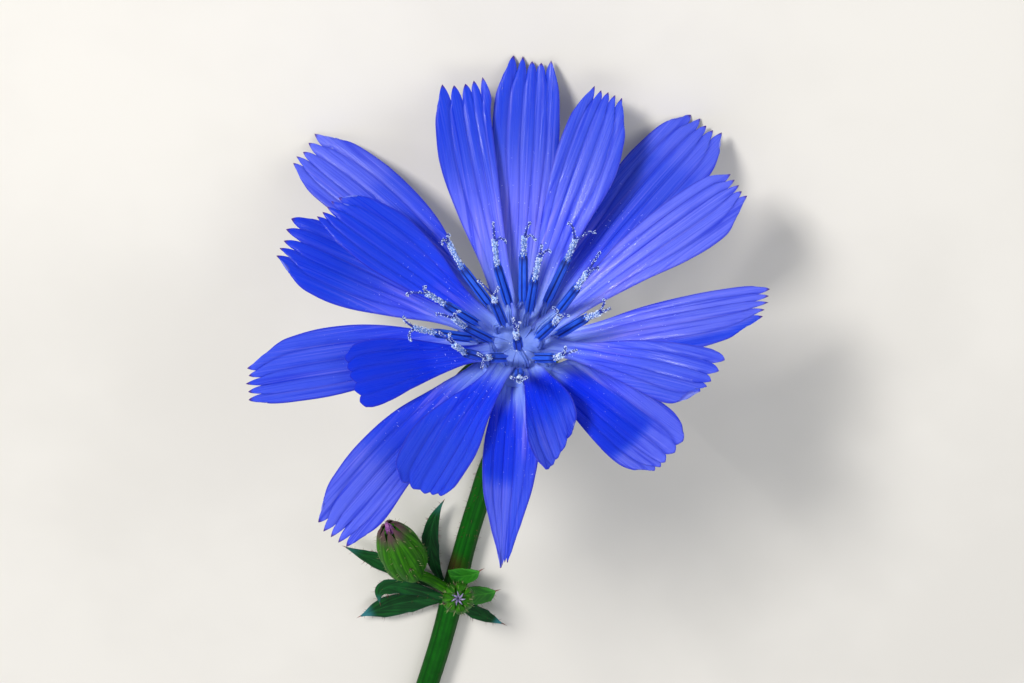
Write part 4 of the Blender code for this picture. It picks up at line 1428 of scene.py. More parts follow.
COLUMNS = (
    Column(1, 88.5, OUTER, (0.5, 4.0), (0.5, 7.6), (0.6, 9.1), ((1.0, 10.2), (1.4, 9.0))),
    Column(2, 69, INNER, (1.0, 3.2), (1.4, 5.7), (1.8, 7.5), ((2.0, 8.4), (2.6, 8.0))),
    Column(3, 49, OUTER, (2.4, 3.9), (4.0, 7.2), (4.7, 8.9), ((4.2, 10.2), (6.2, 9.5))),
    Column(4, 30, INNER, (3.4, 3.2), (4.8, 5.0), (5.6, 6.2), ((6.6, 7.8), (6.5, 6.6))),
    Column(5, 13, OUTER, (3.4, 1.3), (5.6, 2.6), (6.6, 3.0), ((7.0, 4.0), (7.4, 3.3))),
    Column(6, 353, INNER, (1.8, 1.1), (3.0, 2.2), (3.4, 2.7), ((3.0, 3.4), (4.1, 2.8))),
    Column(7, 328, OUTER, (1.6, -0.6), (3.1, -0.6), (3.6, -0.4), ((4.7, 0.0), (3.9, 0.2))),
    Column(8, 291, INNER, (0.1, 0.3), (0.0, 1.0), (-0.1, 1.5), ((-0.3, 2.5), (0.2, 2.2))),
    Column(9, 268, LOW, (0.2, -1.8), (0.2, -2.2), (0.2, -2.4), ((-0.4, -2.2), (0.7, -2.2))),
    Column(10, 240, INNER, (-1.1, -0.6), (-2.2, -0.6), (-2.5, -0.6), ((-3.1, -0.3), (-2.8, -1.3))),
    Column(11, 219.5, OUTER, (-3.0, -0.5), (-4.2, -0.2), (-5.1, 0.5), ((-6.2, 1.4), (-5.4, 1.3))),
    Column(12, 199, INNER, (-2.2, 0.9), (-4.2, 1.9), (-5.1, 2.6), ((-6.4, 2.9), (-4.7, 3.1))),
    Column(13, 176.5, OUTER, (-3.8, 1.0), (-6.6, 1.4), (-8.3, 1.8), ((-9.1, 2.6), (-8.6, 0.9))),
    Column(14, 166, OUTER, (-3.3, 2.2), (-5.8, 3.7), (-7.3, 4.6), ((-8.8, 4.5), (-7.4, 5.1))),
    Column(15, 146, INNER, (-1.1, 2.2), (-1.8, 3.9), (-1.8, 4.3), ((-3.0, 5.5), (-1.5, 5.0))),
    Column(16, 125, OUTER, (-2.3, 3.8), (-4.4, 6.6), (-5.5, 8.7), ((-6.0, 8.7), (-5.5, 9.3))),
    Column(17, 107, INNER, (-0.7, 3.8), (-1.6, 6.8), (-1.8, 8.8), ((-1.9, 10.2), (-1.0, 8.8))),
)


@dataclass(frozen=True)
class BractRing:
    """A ring of keeled bracts that follow a path beside an axis.

    Attributes:
        count: how many there are.
        first: the first one's azimuth, in degrees.
        path: distances from the axis and heights, from root to tip.
        halves: half widths at the same places.
        hairs: how many hairs each has.
        seed: what its small differences start from.
        keel: how far the middle stands out.
        blush_from: the share along from which the tip is blushed.
    """

    count: int
    first: float
    path: Sequence[Pair]
    halves: Sequence[float]
    hairs: int
    seed: int
    keel: float = 0.15
    blush_from: float = 0.88

    THICKNESS = 0.32
    SQUARES_ACROSS = 10
    SQUARES_ALONG = 30
    LEAST_BEND = 1.2
    TWIST = 0.06
    SPREAD = 0.15
    RISE = 0.12
    WIDTHS = (0.93, 1.05)
    EDGE_INWARD = 0.12
    RIB_WIDTH = 0.22
    EDGE_FROM = 0.75
    PATTERN_STEP = 5.0
    HAIR_PLACES = (0.03, 0.5, 0.5, 0.97)
    HAIR_SPAN = (0.12, 0.95)
    HAIR_LEAN = 0.3
    HAIR_LENGTHS = (0.3, 0.6)
    HAIR_RADIUS = 0.03

    def add(self, shape: Shape, carry: Callable[[Vector], Vector], look: Look) -> None:
        """Adds the ring to a shape.

        Args:
            shape: what it joins.
            carry: moves a place round the axis to its place over the table.
            look: the finish of the bracts.
        """
        luck = random.Random(self.seed)
        stations = arc_shares([Vector(place) for place in self.path])
        outs, ups = zip(*self.path)
        hairs = []
        for index in range(self.count):
            azimuth = math.radians(self.first + 360.0 * index / self.count)
            twist = luck.uniform(-self.TWIST, self.TWIST)
            spread = luck.uniform(-self.SPREAD, self.SPREAD)
            rise = luck.uniform(-self.RISE, self.RISE)
            wide = luck.uniform(*self.WIDTHS)

            def point(u: float, v: float) -> Spot:
                """One place of the bract.

                Args:
                    u: the share across.
                    v: the share along.

                Returns:
                    The middle of its thickness, over the table, and its marks.
                """
                out = blend(stations, outs, v) + spread * v ** 3
                up = blend(stations, ups, v) + rise * v ** 3
                half = blend(stations, self.halves, v) * wide
                side = 2 * u - 1
                away = abs(side)
                keel = self.keel * (1 - away ** 1.5) * min(half, 1.0)
                turn = azimuth + twist * v + side * half / max(out, self.LEAST_BEND)
                inward = self.EDGE_INWARD * away ** 3 * half
                place = polar(out + keel - inward, turn, up + keel * 0.3)
                marks = Marks(
                    v, side * half + self.PATTERN_STEP * index,
                    1 - ease(0.0, self.RIB_WIDTH, away * half), ease(self.EDGE_FROM, 1.0, away),
                    ease(self.blush_from, 1.0, v), index + self.seed,
                )
                return carry(place), marks

            def thickness(u: float, v: float) -> float:
                """The thickness, which falls toward the edges and the tip."""
                return self.THICKNESS * (1 - 0.75 * max(abs(2 * u - 1) ** 2, v ** 4))

            shape.sheet(self.SQUARES_ACROSS, self.SQUARES_ALONG, point, thickness, look, look)
            for _ in range(self.hairs):
                u, v = luck.choice(self.HAIR_PLACES), luck.uniform(*self.HAIR_SPAN)
                root, _ = point(u, v)
                beyond = carry(UP * (blend(stations, ups, v) - 0.4))
                lean = Vector([luck.uniform(-self.HAIR_LEAN, self.HAIR_LEAN) for _ in range(3)])
                way = ((root - beyond).normalized() + lean).normalized()
                hairs.append((root, way, luck.uniform(*self.HAIR_LENGTHS)))
        shape.spikes(hairs, self.HAIR_RADIUS, Look.HAIR)


@dataclass(frozen=True)
class Involucre:
    """The green cup: a core, eight long bracts round it and five short ones outside."""

    core: tuple[Pair, ...] = (
        (0.0, -1.0), (1.5, -1.0), (2.8, -1.0), (3.08, -1.15), (3.2, -1.6), (3.08, -2.5),
        (3.0, -3.5), (2.95, -4.8), (2.95, -6.0), (2.98, -7.3), (3.0, -8.5), (2.9, -9.4),
        (2.65, -10.2), (2.2, -10.7), (1.5, -11.0), (0.0, -11.05),
    )
    disc: tuple[Pair, ...] = (
        (0.0, 1.1), (1.2, 1.1), (1.8, 1.02), (2.3, 0.82), (2.8, 0.4), (3.1, -0.1), (3.15, -0.7),
        (2.95, -1.05), (0.0, -1.1),
    )
    sides: int = 48
    inner: BractRing = BractRing(
        8, 22.5,
        (
            (2.3, -10.75), (3.05, -9.6), (3.2, -7.6), (3.17, -5.6), (3.25, -3.8), (3.5, -2.4),
            (4.2, -1.6), (5.3, -1.15),
        ),
        (0.75, 1.15, 1.32, 1.3, 1.25, 1.15, 0.9, 0.1), 26, 3,
    )
    outer: BractRing = BractRing(
        5, 54.0, ((2.2, -10.6), (3.3, -9.4), (3.8, -7.5), (4.2, -5.8), (5.0, -4.3)),
        (0.9, 1.5, 1.4, 1.0, 0.1), 30, 4,
    )

    def build(self) -> None:
        """Makes the cup and puts it for its CAD node."""
        shape = Shape(Look.CUP, Look.BRACT, Look.HAIR, Look.THROAT)
        shape.turned(self.core, self.sides, POSE.head_matrix(), Look.CUP)
        shape.turned(self.disc, self.sides, POSE.head_matrix(), Look.THROAT)
        for ring in (self.inner, self.outer):
            ring.add(shape, POSE.head_to_world, Look.BRACT)
        shape.finish("involucre", "cup", "involucre_green")


@dataclass(frozen=True)
class Receptacle:
    """The pale middle of the head, with a fold toward each claw and fallen pollen.

    Attributes:
        outline: radii and heights of the boss.
        top: the height of its middle.
        grains: how many grains of pollen lie on it.
        fold_thickness: how thick the folds are.
        inner_fold: how far a fold toward an inner claw reaches, and its rise.
        outer_fold: the same for an outer claw.
    """

    outline: tuple[Pair, ...] = (
        (0.0, 1.15), (0.4, 1.12), (0.8, 1.02), (1.1, 0.85), (1.25, 0.6), (1.2, -0.1),
        (1.15, -0.65), (0.0, -0.65),
    )
    top: float = 1.15
    grains: int = 90
    fold_thickness: float = 0.1
    inner_fold: Pair = (2.4, -0.05)
    outer_fold: Pair = (3.3, -0.75)

    SIDES = 32
    FOLD_START = 0.06
    FOLD_ROOT = 0.1
    FOLD_SPREAD = 0.24
    FOLD_CUP = 0.1
    FOLD_BEND = 0.25
    FOLD_GAP = 0.01
    # Each fold lies this much over the one before
    FOLD_STEP = 0.012
    FOLD_SQUARES = (8, 12)
    GRAINS_REACH = 1.4
    GRAINS_UP = 0.3
    GRAINS_FALL = 0.25
    GRAINS_SIDE = (2.6, 5.6)
    GRAIN_RADII = (0.03, 0.06)

    def build(self) -> None:
        """Makes the boss and puts it for its CAD node."""
        luck = random.Random(7)
        shape = Shape(Look.THROAT, Look.POLLEN)
        shape.turned(self.outline, self.SIDES, POSE.head_matrix(), Look.THROAT)
        for floret in FLORETS:
            reach, rise = self.inner_fold if floret.ring is INNER else self.outer_fold
            height = self.top + self.FOLD_GAP + self.FOLD_STEP * floret.number
            bend = luck.uniform(-self.FOLD_BEND, self.FOLD_BEND)

            def point(u: float, v: float) -> Spot:
                """One place of the fold.

                Args:
                    u: the share across.
                    v: the share along.

                Returns:
                    The middle of its thickness, over the table, and its marks.
                """
                across = 2 * u - 1
                out = reach * (self.FOLD_START + (1 - self.FOLD_START) * v)
                ahead = polar(1.0, math.radians(floret.slot) + bend * (1 - v))
                half = self.FOLD_ROOT + self.FOLD_SPREAD * out
                place = ahead * out + UP.cross(ahead) * (across * half)
                place += UP * (height + rise * v ** 2 + self.FOLD_CUP * across ** 2 * v)
                return POSE.head_to_world(place), Marks(v, across)

            shape.sheet(
                *self.FOLD_SQUARES, point, lambda u, v: self.fold_thickness, Look.THROAT, Look.THROAT
            )
        grains = []
        for _ in range(self.grains):
            out = min(abs(luck.gauss(0.0, 1.0)), self.GRAINS_REACH)
            turn = luck.uniform(*self.GRAINS_SIDE)
            up = self.top + self.GRAINS_UP - self.GRAINS_FALL * out ** 2
            place = POSE.head_to_world(polar(out, turn, up))
            grains.append((place, luck.uniform(*self.GRAIN_RADII)))
        shape.grains(grains, Look.POLLEN)
        shape.finish("receptacle", "boss", "receptacle_pale")


@dataclass(frozen=True)
class Stem:
    """The stem, which leaves the head along its axis and bends down to lie on the table.

    Attributes:
        radius: its radius.
        height: the height of its middle over the table.
        head_end: where it leaves the head, along the head's axis.
        touchdown: where it comes to lie, as x and y from the throat.
        slope: how far it runs to the right for each step to the head.
        end: the y of its cut end.
        node: the y of the node that carries the buds.
        swelling: how far it swells there.
        lower_gain: how much thicker it is below.
        sides: how many sides it has.
        ribs: how many ribs it has.
        rib_depth: their depth as a share of the radius.
        bend_steps: places along the bend.
        straight_steps: places along the rest.
        hairs: how many hairs it has.
    """

    radius: float = 0.95
    height: float = 0.89
    head_end: float = -10.95
    touchdown: Pair = (-3.05, -21.0)
    slope: float = 0.24
    end: float = -75.0
    node: float = -31.0
    swelling: float = 0.12
    lower_gain: float = 0.07
    sides: int = 30
    ribs: int = 7
    rib_depth: float = 0.05
    bend_steps: int = 40
    straight_steps: int = 110
    hairs: int = 260

    LEAVING = 5.9
    LANDING = 5.0
    TOP_GAIN = 0.08
    SWAY = 0.12
    SWAY_RATE = 0.3
    SWELLING_REACH = 2.5
    GAIN_START = 2.0
    GAIN_RUN = 6.0
    BLUSH = 0.7
    BLUSH_REACH = 1.5
    BLUSH_ASIDE = 2.6
    BLUSH_OVER_NODE = 2.6
    BLUSH_HEIGHT = 1.6
    PITH_RADII = (0.62, 0.6)
    PITH_THICKNESS = 0.03
    HAIRS_OVER_NODE = 10.0
    HAIRS_REACH = 9.0
    HAIRS_ELSEWHERE = 0.12
    HAIR_LENGTHS = (0.16, 0.3)
    HAIR_GAIN = 0.22
    HAIR_SUNK = 0.92
    HAIR_FLOOR = 0.05
    HAIR_LEANS = (-0.5, 0.2)
    HAIR_RADIUS = 0.02

    def path(self) -> tuple[list[Vector], list[float]]:
        """Runs the stem from the head to its cut end.

        Returns:
            Its places over the table, and the radius at each.
        """
        root = POSE.head_to_world(UP * self.head_end)
        below = POSE.head_to_world(UP * (self.head_end - self.LEAVING))
        x, y = self.touchdown
        touch = Vector((x, y, self.height)) + SHIFT
        along = Vector((self.slope, 1.0, 0.0)).normalized()
        shares = [index / self.bend_steps for index in range(self.bend_steps)]
        bend = (root, below, touch + along * self.LANDING, touch)
        path = [curve_at(bend, share) for share in shares]
        radii = [self.radius * (1 + self.TOP_GAIN * (1 - share)) for share in shares]
        for index in range(self.straight_steps + 1):
            far = y + (self.end - y) * index / self.straight_steps
            aside = x + self.slope * (far - y) + self.SWAY * math.sin(self.SWAY_RATE * (far - y))
            swell = self.swelling * bell(far - self.node, self.SWELLING_REACH)
            gain = self.lower_gain * clamp((self.node + self.GAIN_START - far) / self.GAIN_RUN)
            path.append(Vector((aside, far, self.height + gain)) + SHIFT)
            radii.append(self.radius + swell + gain)
        return path, radii

    def hair_roots(
        self, path: Sequence[Vector], radii: Sequence[float]
    ) -> list[tuple[Vector, Vector, float]]:
        """Chooses the stem's hairs, most of them a little over the node.

        Args:
            path: the stem's places.
            radii: the radius at each.

        Returns:
            Where each hair stands, the way it points and its length.
        """
        luck = random.Random(11)
        frames = path_frames(path)
        roots = []
        while len(roots) < self.hairs:
            at = luck.randrange(2, len(path) - 1)
            over_node = path[at].y - SHIFT.y - self.node
            near = bell(over_node - self.HAIRS_OVER_NODE, self.HAIRS_REACH)
            if luck.random() > self.HAIRS_ELSEWHERE + near:
                continue
            out = spoke(frames[at], luck.uniform(0.0, ROUND))
            root = path[at] + out * radii[at] * self.HAIR_SUNK
            length = luck.uniform(*self.HAIR_LENGTHS) + self.HAIR_GAIN * near
            if (root + out * length).z > self.HAIR_FLOOR:
                lean = Vector((0.0, luck.uniform(*self.HAIR_LEANS), 0.0))
                roots.append((root, out + lean, length))
        return roots

    def build(self) -> None:
        """Makes the stem and puts it for its CAD node."""
        path, radii = self.path()
        shape = Shape(Look.STEM, Look.PITH, Look.SPINE)

        def form(turn: float, share: float) -> float:
            """The stem's ribs."""
            return 1.0 - self.rib_depth * (0.5 + 0.5 * math.cos(self.ribs * turn + 3 * share)) ** 2

        shape.tube(path, radii, self.sides, Look.STEM, form, Look.PITH)
        blush = shape.mesh.verts.layers.float["tip"]
        aside, over = self.touchdown[0] - self.BLUSH_ASIDE, self.node + self.BLUSH_OVER_NODE
        patch = Vector((aside, over, self.BLUSH_HEIGHT)) + SHIFT
        for vert in shape.mesh.verts:
            vert.co.z = max(vert.co.z, 0.0)
            vert[blush] = self.BLUSH * bell((vert.co / MM - patch).length, self.BLUSH_REACH)
        end, ahead = path[-1], (path[-1] - path[-2]).normalized()
        cut = [end, end + ahead * self.PITH_THICKNESS]
        shape.tube(cut, self.PITH_RADII, self.sides, Look.PITH)
        shape.spikes(self.hair_roots(path, radii), self.HAIR_RADIUS, Look.SPINE)
        shape.finish("stem", "stalk", "stem_green")


SLIM = ((0.0, 0.4), (0.25, 0.85), (0.5, 1.0), (0.75, 0.7), (1.0, 0.06))
BROAD = ((0.0, 0.7), (0.25, 0.95), (0.5, 1.0), (0.78, 0.75), (1.0, 0.06))


@dataclass(frozen=True)
class Leaf:
    """A small toothed leaf or bract at the stem's node.

    Attributes:
        name: the CAD node's name.
        root: where its root shows, and its height.
        middle: where its middle shows, and its height.
        tip: where its tip shows, and its height.
        half: half its width.
        teeth: how many teeth each edge has.
        look: its face's finish.
        sheen: how strongly its tip colour shows: a painted sheen on the dark leaves, the bright bracts' own
            tip colour on them.
        widths: shares along it and shares of the half width there.
    """

    name: str
    root: Triple
    middle: Triple
    tip: Triple
    half: float
    teeth: int
    look: Look = Look.LEAF
    sheen: float = 0.5
    widths: tuple[Pair, ...] = SLIM

    SUNK = 0.6
    KEEL = 0.22
    THICKNESS = 0.3
    TOOTH_RISE = 0.16
    TOOTH_FALL = 0.05
    TOOTH_PLACES = (0.75, 1.15)
    TOOTH_SIZES = (0.06, 0.15)
    SQUARES_ACROSS = 20
    SQUARES_ALONG = 48
    SPINE_STEP = 0.02
    BODY_SHARE = 0.94
    WAVE_HEIGHT = 0.07
    WAVE_RATE = 9.0
    RIB_WIDTH = 0.16
    EDGE_FROM = 0.72
    BLUSH_AND_SHEEN_SPAN = (0.7, 0.97)
    PATTERN_STEP = 9.0
    POINT_LENGTH = 0.7
    POINT_RADIUS = 0.09
    HAIRS_PER_MM = 6
    HAIR_PLACES = (0.0, 0.0, 1.0, 1.0, 0.5)
    HAIR_SPAN = (0.05, 0.97)
    HAIR_LENGTHS = (0.18, 0.5)
    HAIR_RADIUS = 0.02

    def build(self) -> None:
        """Makes the leaf and puts it for its CAD node."""
        luck = random.Random(self.name)
        root, middle, tip = [POSE.laid(*place) for place in (self.root, self.middle, self.tip)]
        control = middle * 2 - (root + tip) / 2
        root -= (control - root).normalized() * self.SUNK
        shares, widths = zip(*self.widths)
        teeth = []
        for side in (-1, 1):
            for number in range(self.teeth):
                at = (number + luck.uniform(*self.TOOTH_PLACES)) / (self.teeth + 1)
                teeth.append((side, at, luck.uniform(*self.TOOTH_SIZES)))

        def spine(at: float) -> Vector:
            """The middle at a share along."""
            rest = 1 - at
            return root * rest ** 2 + control * 2 * rest * at + tip * at ** 2

        def bite(across: float, v: float) -> float:
            """How far a tooth stands out.

            Args:
                across: the edge's side, by its sign.
                v: the share along.

            Returns:
                The share of the half width that it stands out.
            """
            deepest = 0.0
            for edge, at, size in teeth:
                if edge * across > 0 and at - self.TOOTH_RISE < v <= at + self.TOOTH_FALL:
                    up, down = (v - at) / self.TOOTH_RISE + 1, (at - v) / self.TOOTH_FALL + 1
                    deepest = max(deepest, size * min(up, down) ** 1.3)
            return deepest

        def point(u: float, v: float) -> Spot:
            """One place of the leaf.

            Args:
                u: the share across.
                v: the share along.

            Returns:
                The middle of its thickness, over the table, and its marks.
            """
            before, after = max(v - self.SPINE_STEP, 0.0), min(v + self.SPINE_STEP, 1.0)
            tangent = (spine(after) - spine(before)).normalized()
            side = UP.cross(tangent).normalized()
            across = 1 - 2 * u
            away = abs(across)
            half = self.half * blend(shares, widths, v) * self.BODY_SHARE
            out = across * half + across * away * bite(across, v) * self.half
            waves = self.WAVE_HEIGHT * math.sin(self.WAVE_RATE * v + 2 * across) * away
            lift = -self.KEEL * half * min(1.0, half) * (1 - away) + waves * half
            # The tip mark: a painted sheen on the dark leaves, a tip colour of their own on the bright
            # bracts
            marks = Marks(
                v, away * half + 2.0 * v, 1 - ease(0.0, self.RIB_WIDTH, away * half),
                ease(self.EDGE_FROM, 1.0, away), ease(*self.BLUSH_AND_SHEEN_SPAN, v) * self.sheen,
                self.half * self.PATTERN_STEP,
            )
            return spine(v) + side * out + tangent.cross(side) * lift, marks

        def thickness(u: float, v: float) -> float:
            """The thickness, which falls toward the edges and the tip."""
            return self.THICKNESS * (1 - 0.7 * max(abs(1 - 2 * u) ** 2, v ** 6))

        looks = (self.look, Look.LEAF_BACK)
        shape = Shape(*looks, Look.SPINE)
        shape.sheet(self.SQUARES_ACROSS, self.SQUARES_ALONG, point, thickness, *looks)
        lowest = min(shape.lowest(), 0.0)
        for vert in shape.mesh.verts:
            vert.co.z -= lowest
        hairs = []
        for _ in range(int((tip - root).length * self.HAIRS_PER_MM)):
            u, v = luck.choice(self.HAIR_PLACES), luck.uniform(*self.HAIR_SPAN)
            foot = point(u, v)[0]
            away = UP if u == 0.5 else foot - point(0.5, v)[0]
            way = away.normalized() + UP * 0.3 + (tip - root).normalized() * 0.5
            hairs.append((foot, way, luck.uniform(*self.HAIR_LENGTHS)))
        shape.spikes(hairs, self.HAIR_RADIUS, Look.SPINE)
        ahead = spine(1.0) - spine(0.96)
        point_hair = (spine(0.97), ahead, self.POINT_LENGTH)
        shape.spikes([point_hair], self.POINT_RADIUS, Look.SPINE)
        shape.finish(self.name, "blade", "leaf_green")


# On the dark leaves the tip colour is a painted sheen of reflected sky, strongest on leaf_low_left and
# bract_low_right
LEAVES = (
    Leaf("leaf_up", (-6.3, -18.0, 1.4), (-7.0, -15.0, 1.1), (-5.9, -12.1, 1.6), 0.75, 1),
    Leaf("leaf_left", (-6.45, -18.8, 0.8), (-10.4, -17.2, 0.85), (-13.7, -15.8, 1.3), 0.85, 2),
    Leaf("leaf_low_left", (-6.6, -19.9, 0.8), (-9.8, -20.4, 0.9), (-12.5, -21.3, 0.9), 1.2, 2,
         sheen=0.9),
    Leaf("leaf_hooked", (-6.4, -19.65, 1.75), (-10.2, -18.9, 2.0), (-11.0, -20.2, 2.0), 0.8, 2),
    Leaf("bract_upper_right", (-4.95, -18.1, 2.55), (-4.0, -18.1, 3.1), (-3.0, -17.7, 3.3), 0.85,
         1, Look.LEAF_BRIGHT, 0.2, BROAD),
    Leaf("bract_right", (-3.75, -19.7, 1.1), (-2.8, -19.6, 1.3), (-1.7, -19.3, 1.6), 1.0, 2,
         Look.LEAF_BRIGHT, 0.2, BROAD),
    Leaf("bract_low_right", (-4.1, -20.7, 0.9), (-2.8, -21.2, 1.1), (-1.2, -21.9, 1.2), 0.7, 2,
         sheen=1.0),
)


@dataclass(frozen=True)
class Bud:
    """A closed bud: a body in overlapping bracts with furled petals at its mouth.

    Attributes:
        name: the CAD node's name.
        root: where its root shows, and its height.
        tip: where its tip shows, and its height.
        outline: shares of the length and radii.
        bracts: how many bracts it has.
        point: how far their tips stand over the rim.
        petals: the furled petals' radius.
        stalk: where its stalk meets the stem, if it has one.
        blush_from: the share along its bracts from which they are blushed.
        petal_look: the furled petals' finish.
        star: whether its petals lie open like a star.
    """

    name: str
    root: Triple
    tip: Triple
    outline: tuple[Pair, ...]
    bracts: int
    point: float
    petals: float
    stalk: Triple | None = None
    blush_from: float = 0.64
    petal_look: Look = Look.BUD_PETAL
    star: bool = False

    STALK_RADIUS = 0.4725
    BODY_SHARE = 0.86
    BRACT_STAND = 0.02
    OVERLAP = 1.15
    MOUTH = 0.4
    PETAL_SPREAD = 1.15
    PETAL_COUNT = 7
    PETAL_STEPS = 8
    PETAL_SIDES = 8
    PETALS_SUNK = 0.3
    BODY_SIDES = 32
    STALK_SIDES = 14
    STALK_SAG = 0.25
    STALK_OVERRUN = 0.6

    def build(self) -> None:
        """Makes the bud and its petals, and puts them for their CAD nodes."""
        root, tip = POSE.laid(*self.root), POSE.laid(*self.tip)
        length = (tip - root).length
        turn = (tip - root).normalized().to_track_quat("Z", "Y").to_matrix()

        def carry(place: Vector) -> Vector:
            """Moves a place round the bud's axis to its place over the table."""
            return root + turn @ place

        outline = [(radius * self.BODY_SHARE, share * length) for share, radius in self.outline]
        (foot, _), (rim, top) = outline[0], outline[-1]
        body = [(0.0, -0.5), (foot * 0.85, -0.4), *outline]
        body += [(rim * 0.7, top + 0.1), (rim * 0.3, top + 0.15), (0.0, top + 0.15)]
        shape = Shape(Look.BUD, Look.HAIR)
        place = Matrix.Translation(root * MM) @ turn.to_4x4()
        shape.turned(body[::-1], self.BODY_SIDES, place, Look.BUD)
        path = [(radius + self.BRACT_STAND, up) for radius, up in outline]
        path += [((rim + self.MOUTH) / 2 + 0.08, top + self.point * 0.55)]
        path += [(self.MOUTH, top + self.point)]
        halves = [math.pi * radius / self.bracts * self.OVERLAP for radius, _ in outline]
        halves += [halves[-1] * 0.66, 0.06]
        reach = max(radius for radius, _ in outline)
        short = (
            (foot, -0.1), (reach * 0.82, length * 0.1),
            (reach * 1.02, length * 0.26), (reach * 1.08, length * 0.42),
        )
        for ring in (
            BractRing(self.bracts, 0.0, path, halves, 12, self.bracts, 0.13, self.blush_from),
            BractRing(4, 20.0, short, (0.5, 0.85, 0.7, 0.07), 10, self.bracts + 1, 0.1),
        ):
            ring.add(shape, carry, Look.BUD)
        if self.stalk is not None:
            inside, end = root.lerp(tip, 0.15), POSE.laid(*self.stalk)
            bend = root.lerp(end, 0.45) - UP * self.STALK_SAG
            beyond = end + (end - bend).normalized() * self.STALK_OVERRUN
            line = smooth_path([inside, root, bend, end, beyond], 6)
            shape.tube(line, [self.STALK_RADIUS] * len(line), self.STALK_SIDES, Look.BUD)
        shape.finish(self.name, "body", "bud_green")
        self.build_petals(carry, top - self.PETALS_SUNK)

    def build_petals(self, carry: Callable[[Vector], Vector], start: float) -> None:
        """Makes the furled petals that stand in the bud's mouth.

        Args:
            carry: moves a place round the bud's axis to its place over the table.
            start: the height of their feet.
        """
        furl = Shape(self.petal_look)
        size = self.petals * self.PETAL_SPREAD
        thick = size * (0.24 if self.star else 0.42)
        shares = [step / self.PETAL_STEPS for step in range(self.PETAL_STEPS + 1)]
        radii = [thick * (1 - 0.78 * share ** 2) for share in shares]
        for index in range(self.PETAL_COUNT):
            line = []
            for share in shares:
                if self.star:
                    twist, out = 0.4, 0.2 + 1.15 * share ** 1.5
                    up = (self.point + 0.45) * math.sin(math.pi / 2 * min(1.0, 1.4 * share))
                else:
                    twist, out = 1.6, 0.75 - 0.6 * share ** 2
                    up = (self.point + 0.75) * share + 0.12 * (index % 2)
                turn = ROUND * index / self.PETAL_COUNT + twist * share
                line.append(carry(polar(size * out, turn, start + up)))
            furl.tube(line, radii, self.PETAL_SIDES, self.petal_look, tone=index)
        furl.finish(self.name + "_petals", "furled", "bud_petals")


BUDS = (
    Bud("bud_large", (-8.4, -17.8, 3.2), (-10.3, -14.2, 6.0),
        ((0.0, 0.7), (0.06, 1.25), (0.2, 1.75), (0.42, 2.0), (0.62, 1.85), (0.8, 1.45),
         (0.9, 1.15)),
        8, 0.9, 0.35, (-5.85, -19.0, 2.35)),
    Bud("bud_small", (-4.7, -19.9, 2.6), (-4.7, -19.9, 6.0),
        ((0.0, 0.6), (0.1, 0.95), (0.3, 1.3), (0.6, 1.35), (0.85, 1.15)),
        7, 0.55, 0.4, None, 0.95, Look.BUD_STAR, True),
)


@dataclass(frozen=True)
class Lamp:
    """A square soft light that faces the flower.

    Attributes:
        name: its name.
        place: where it stands, in millimetres from the throat as looked at.
        size: its side, in millimetres.
        power: its power, in watts.
        colour: its colour.
    """

    name: str
    place: Triple
    size: float
    power: float
    colour: Triple

    def build(self) -> None:
        """Puts the light in the scene."""
        light = bpy.data.lights.new(self.name, "AREA")
        light.shape = "SQUARE"
        light.size = self.size * MM
        light.energy = self.power
        light.color = self.colour
        lamp = bpy.data.objects.new(self.name, light)
        bpy.context.scene.collection.objects.link(lamp)
        lamp.location = POSE.to_world(Vector(self.place)) * MM
        aim = POSE.to_world(Vector()) * MM
        lamp.rotation_euler = (aim - lamp.location).to_track_quat("-Z", "Y").to_euler()


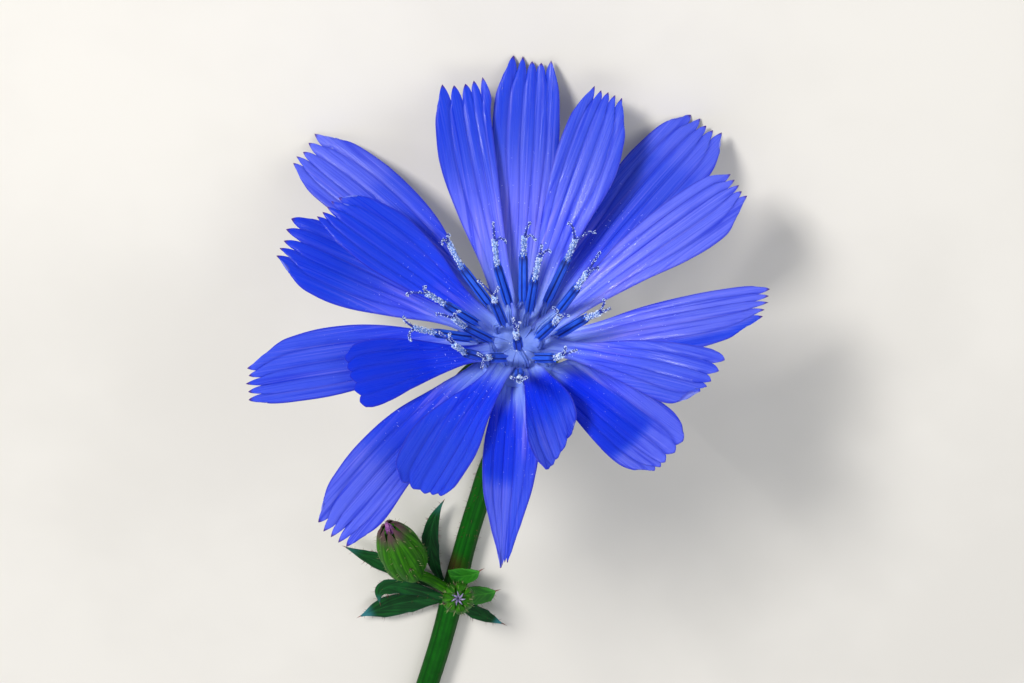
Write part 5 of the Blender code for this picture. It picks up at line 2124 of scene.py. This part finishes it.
@dataclass(frozen=True)
class Studio:
    """The table, the lights and the camera."""

    lamps: tuple[Lamp, ...] = (
        Lamp("key", (-250.0, 110.0, 450.0), 130.0, 3.05, (1.0, 0.98, 0.95)),
        Lamp("fill", (380.0, 60.0, 380.0), 420.0, 0.9, (0.95, 0.97, 1.0)),
        Lamp("low", (-60.0, -420.0, 240.0), 420.0, 0.8, (1.0, 1.0, 1.0)),
    )
    sky: Triple = (0.92, 0.95, 1.0)
    sky_strength: float = 0.35
    table_size: float = 3000.0
    lens: float = 100.0
    sensor: float = 36.0

    def build(self) -> None:
        """Puts the studio in the scene."""
        scene = bpy.context.scene
        scene.view_settings.view_transform = "Standard"
        world = bpy.data.worlds.new("studio")
        world.use_nodes = True
        backdrop = world.node_tree.nodes["Background"].inputs
        backdrop["Color"].default_value = (*self.sky, 1.0)
        backdrop["Strength"].default_value = self.sky_strength
        scene.world = world
        part = bmesh.new()
        bmesh.ops.create_grid(part, x_segments=1, y_segments=1, size=self.table_size * MM / 2)
        mesh = bpy.data.meshes.new("table")
        part.to_mesh(mesh)
        part.free()
        mesh.materials.append(bpy.data.materials[name_of(Look.TABLE)])
        table = bpy.data.objects.new("table", mesh)
        scene.collection.objects.link(table)
        table.location.z = -TABLE_GAP * MM
        for lamp in self.lamps:
            lamp.build()
        self.place_camera()

    def place_camera(self) -> None:
        """Looks down on the flower as the photograph does."""
        camera = bpy.data.cameras.new("camera")
        camera.lens = self.lens
        camera.sensor_width = self.sensor
        camera.clip_start = 0.01
        eye = bpy.data.objects.new("camera", camera)
        bpy.context.scene.collection.objects.link(eye)
        place = POSE.to_world(Vector((*POSE.view_centre, POSE.view_distance)))
        eye.matrix_world = Matrix.Translation(place * MM) @ POSE.table_turn.to_4x4()
        bpy.context.scene.camera = eye


def main() -> None:
    """Builds the finishes, the studio and the flower, part by part."""
    logging.basicConfig(level=logging.INFO, format="%(name)s: %(message)s")
    flower = (*FLORETS, *COLUMNS, Involucre(), Receptacle(), Stem(), *LEAVES, *BUDS)
    for part in (*FINISHES, Studio(), *flower):
        part.build()


if __name__ == "__main__":
    main()
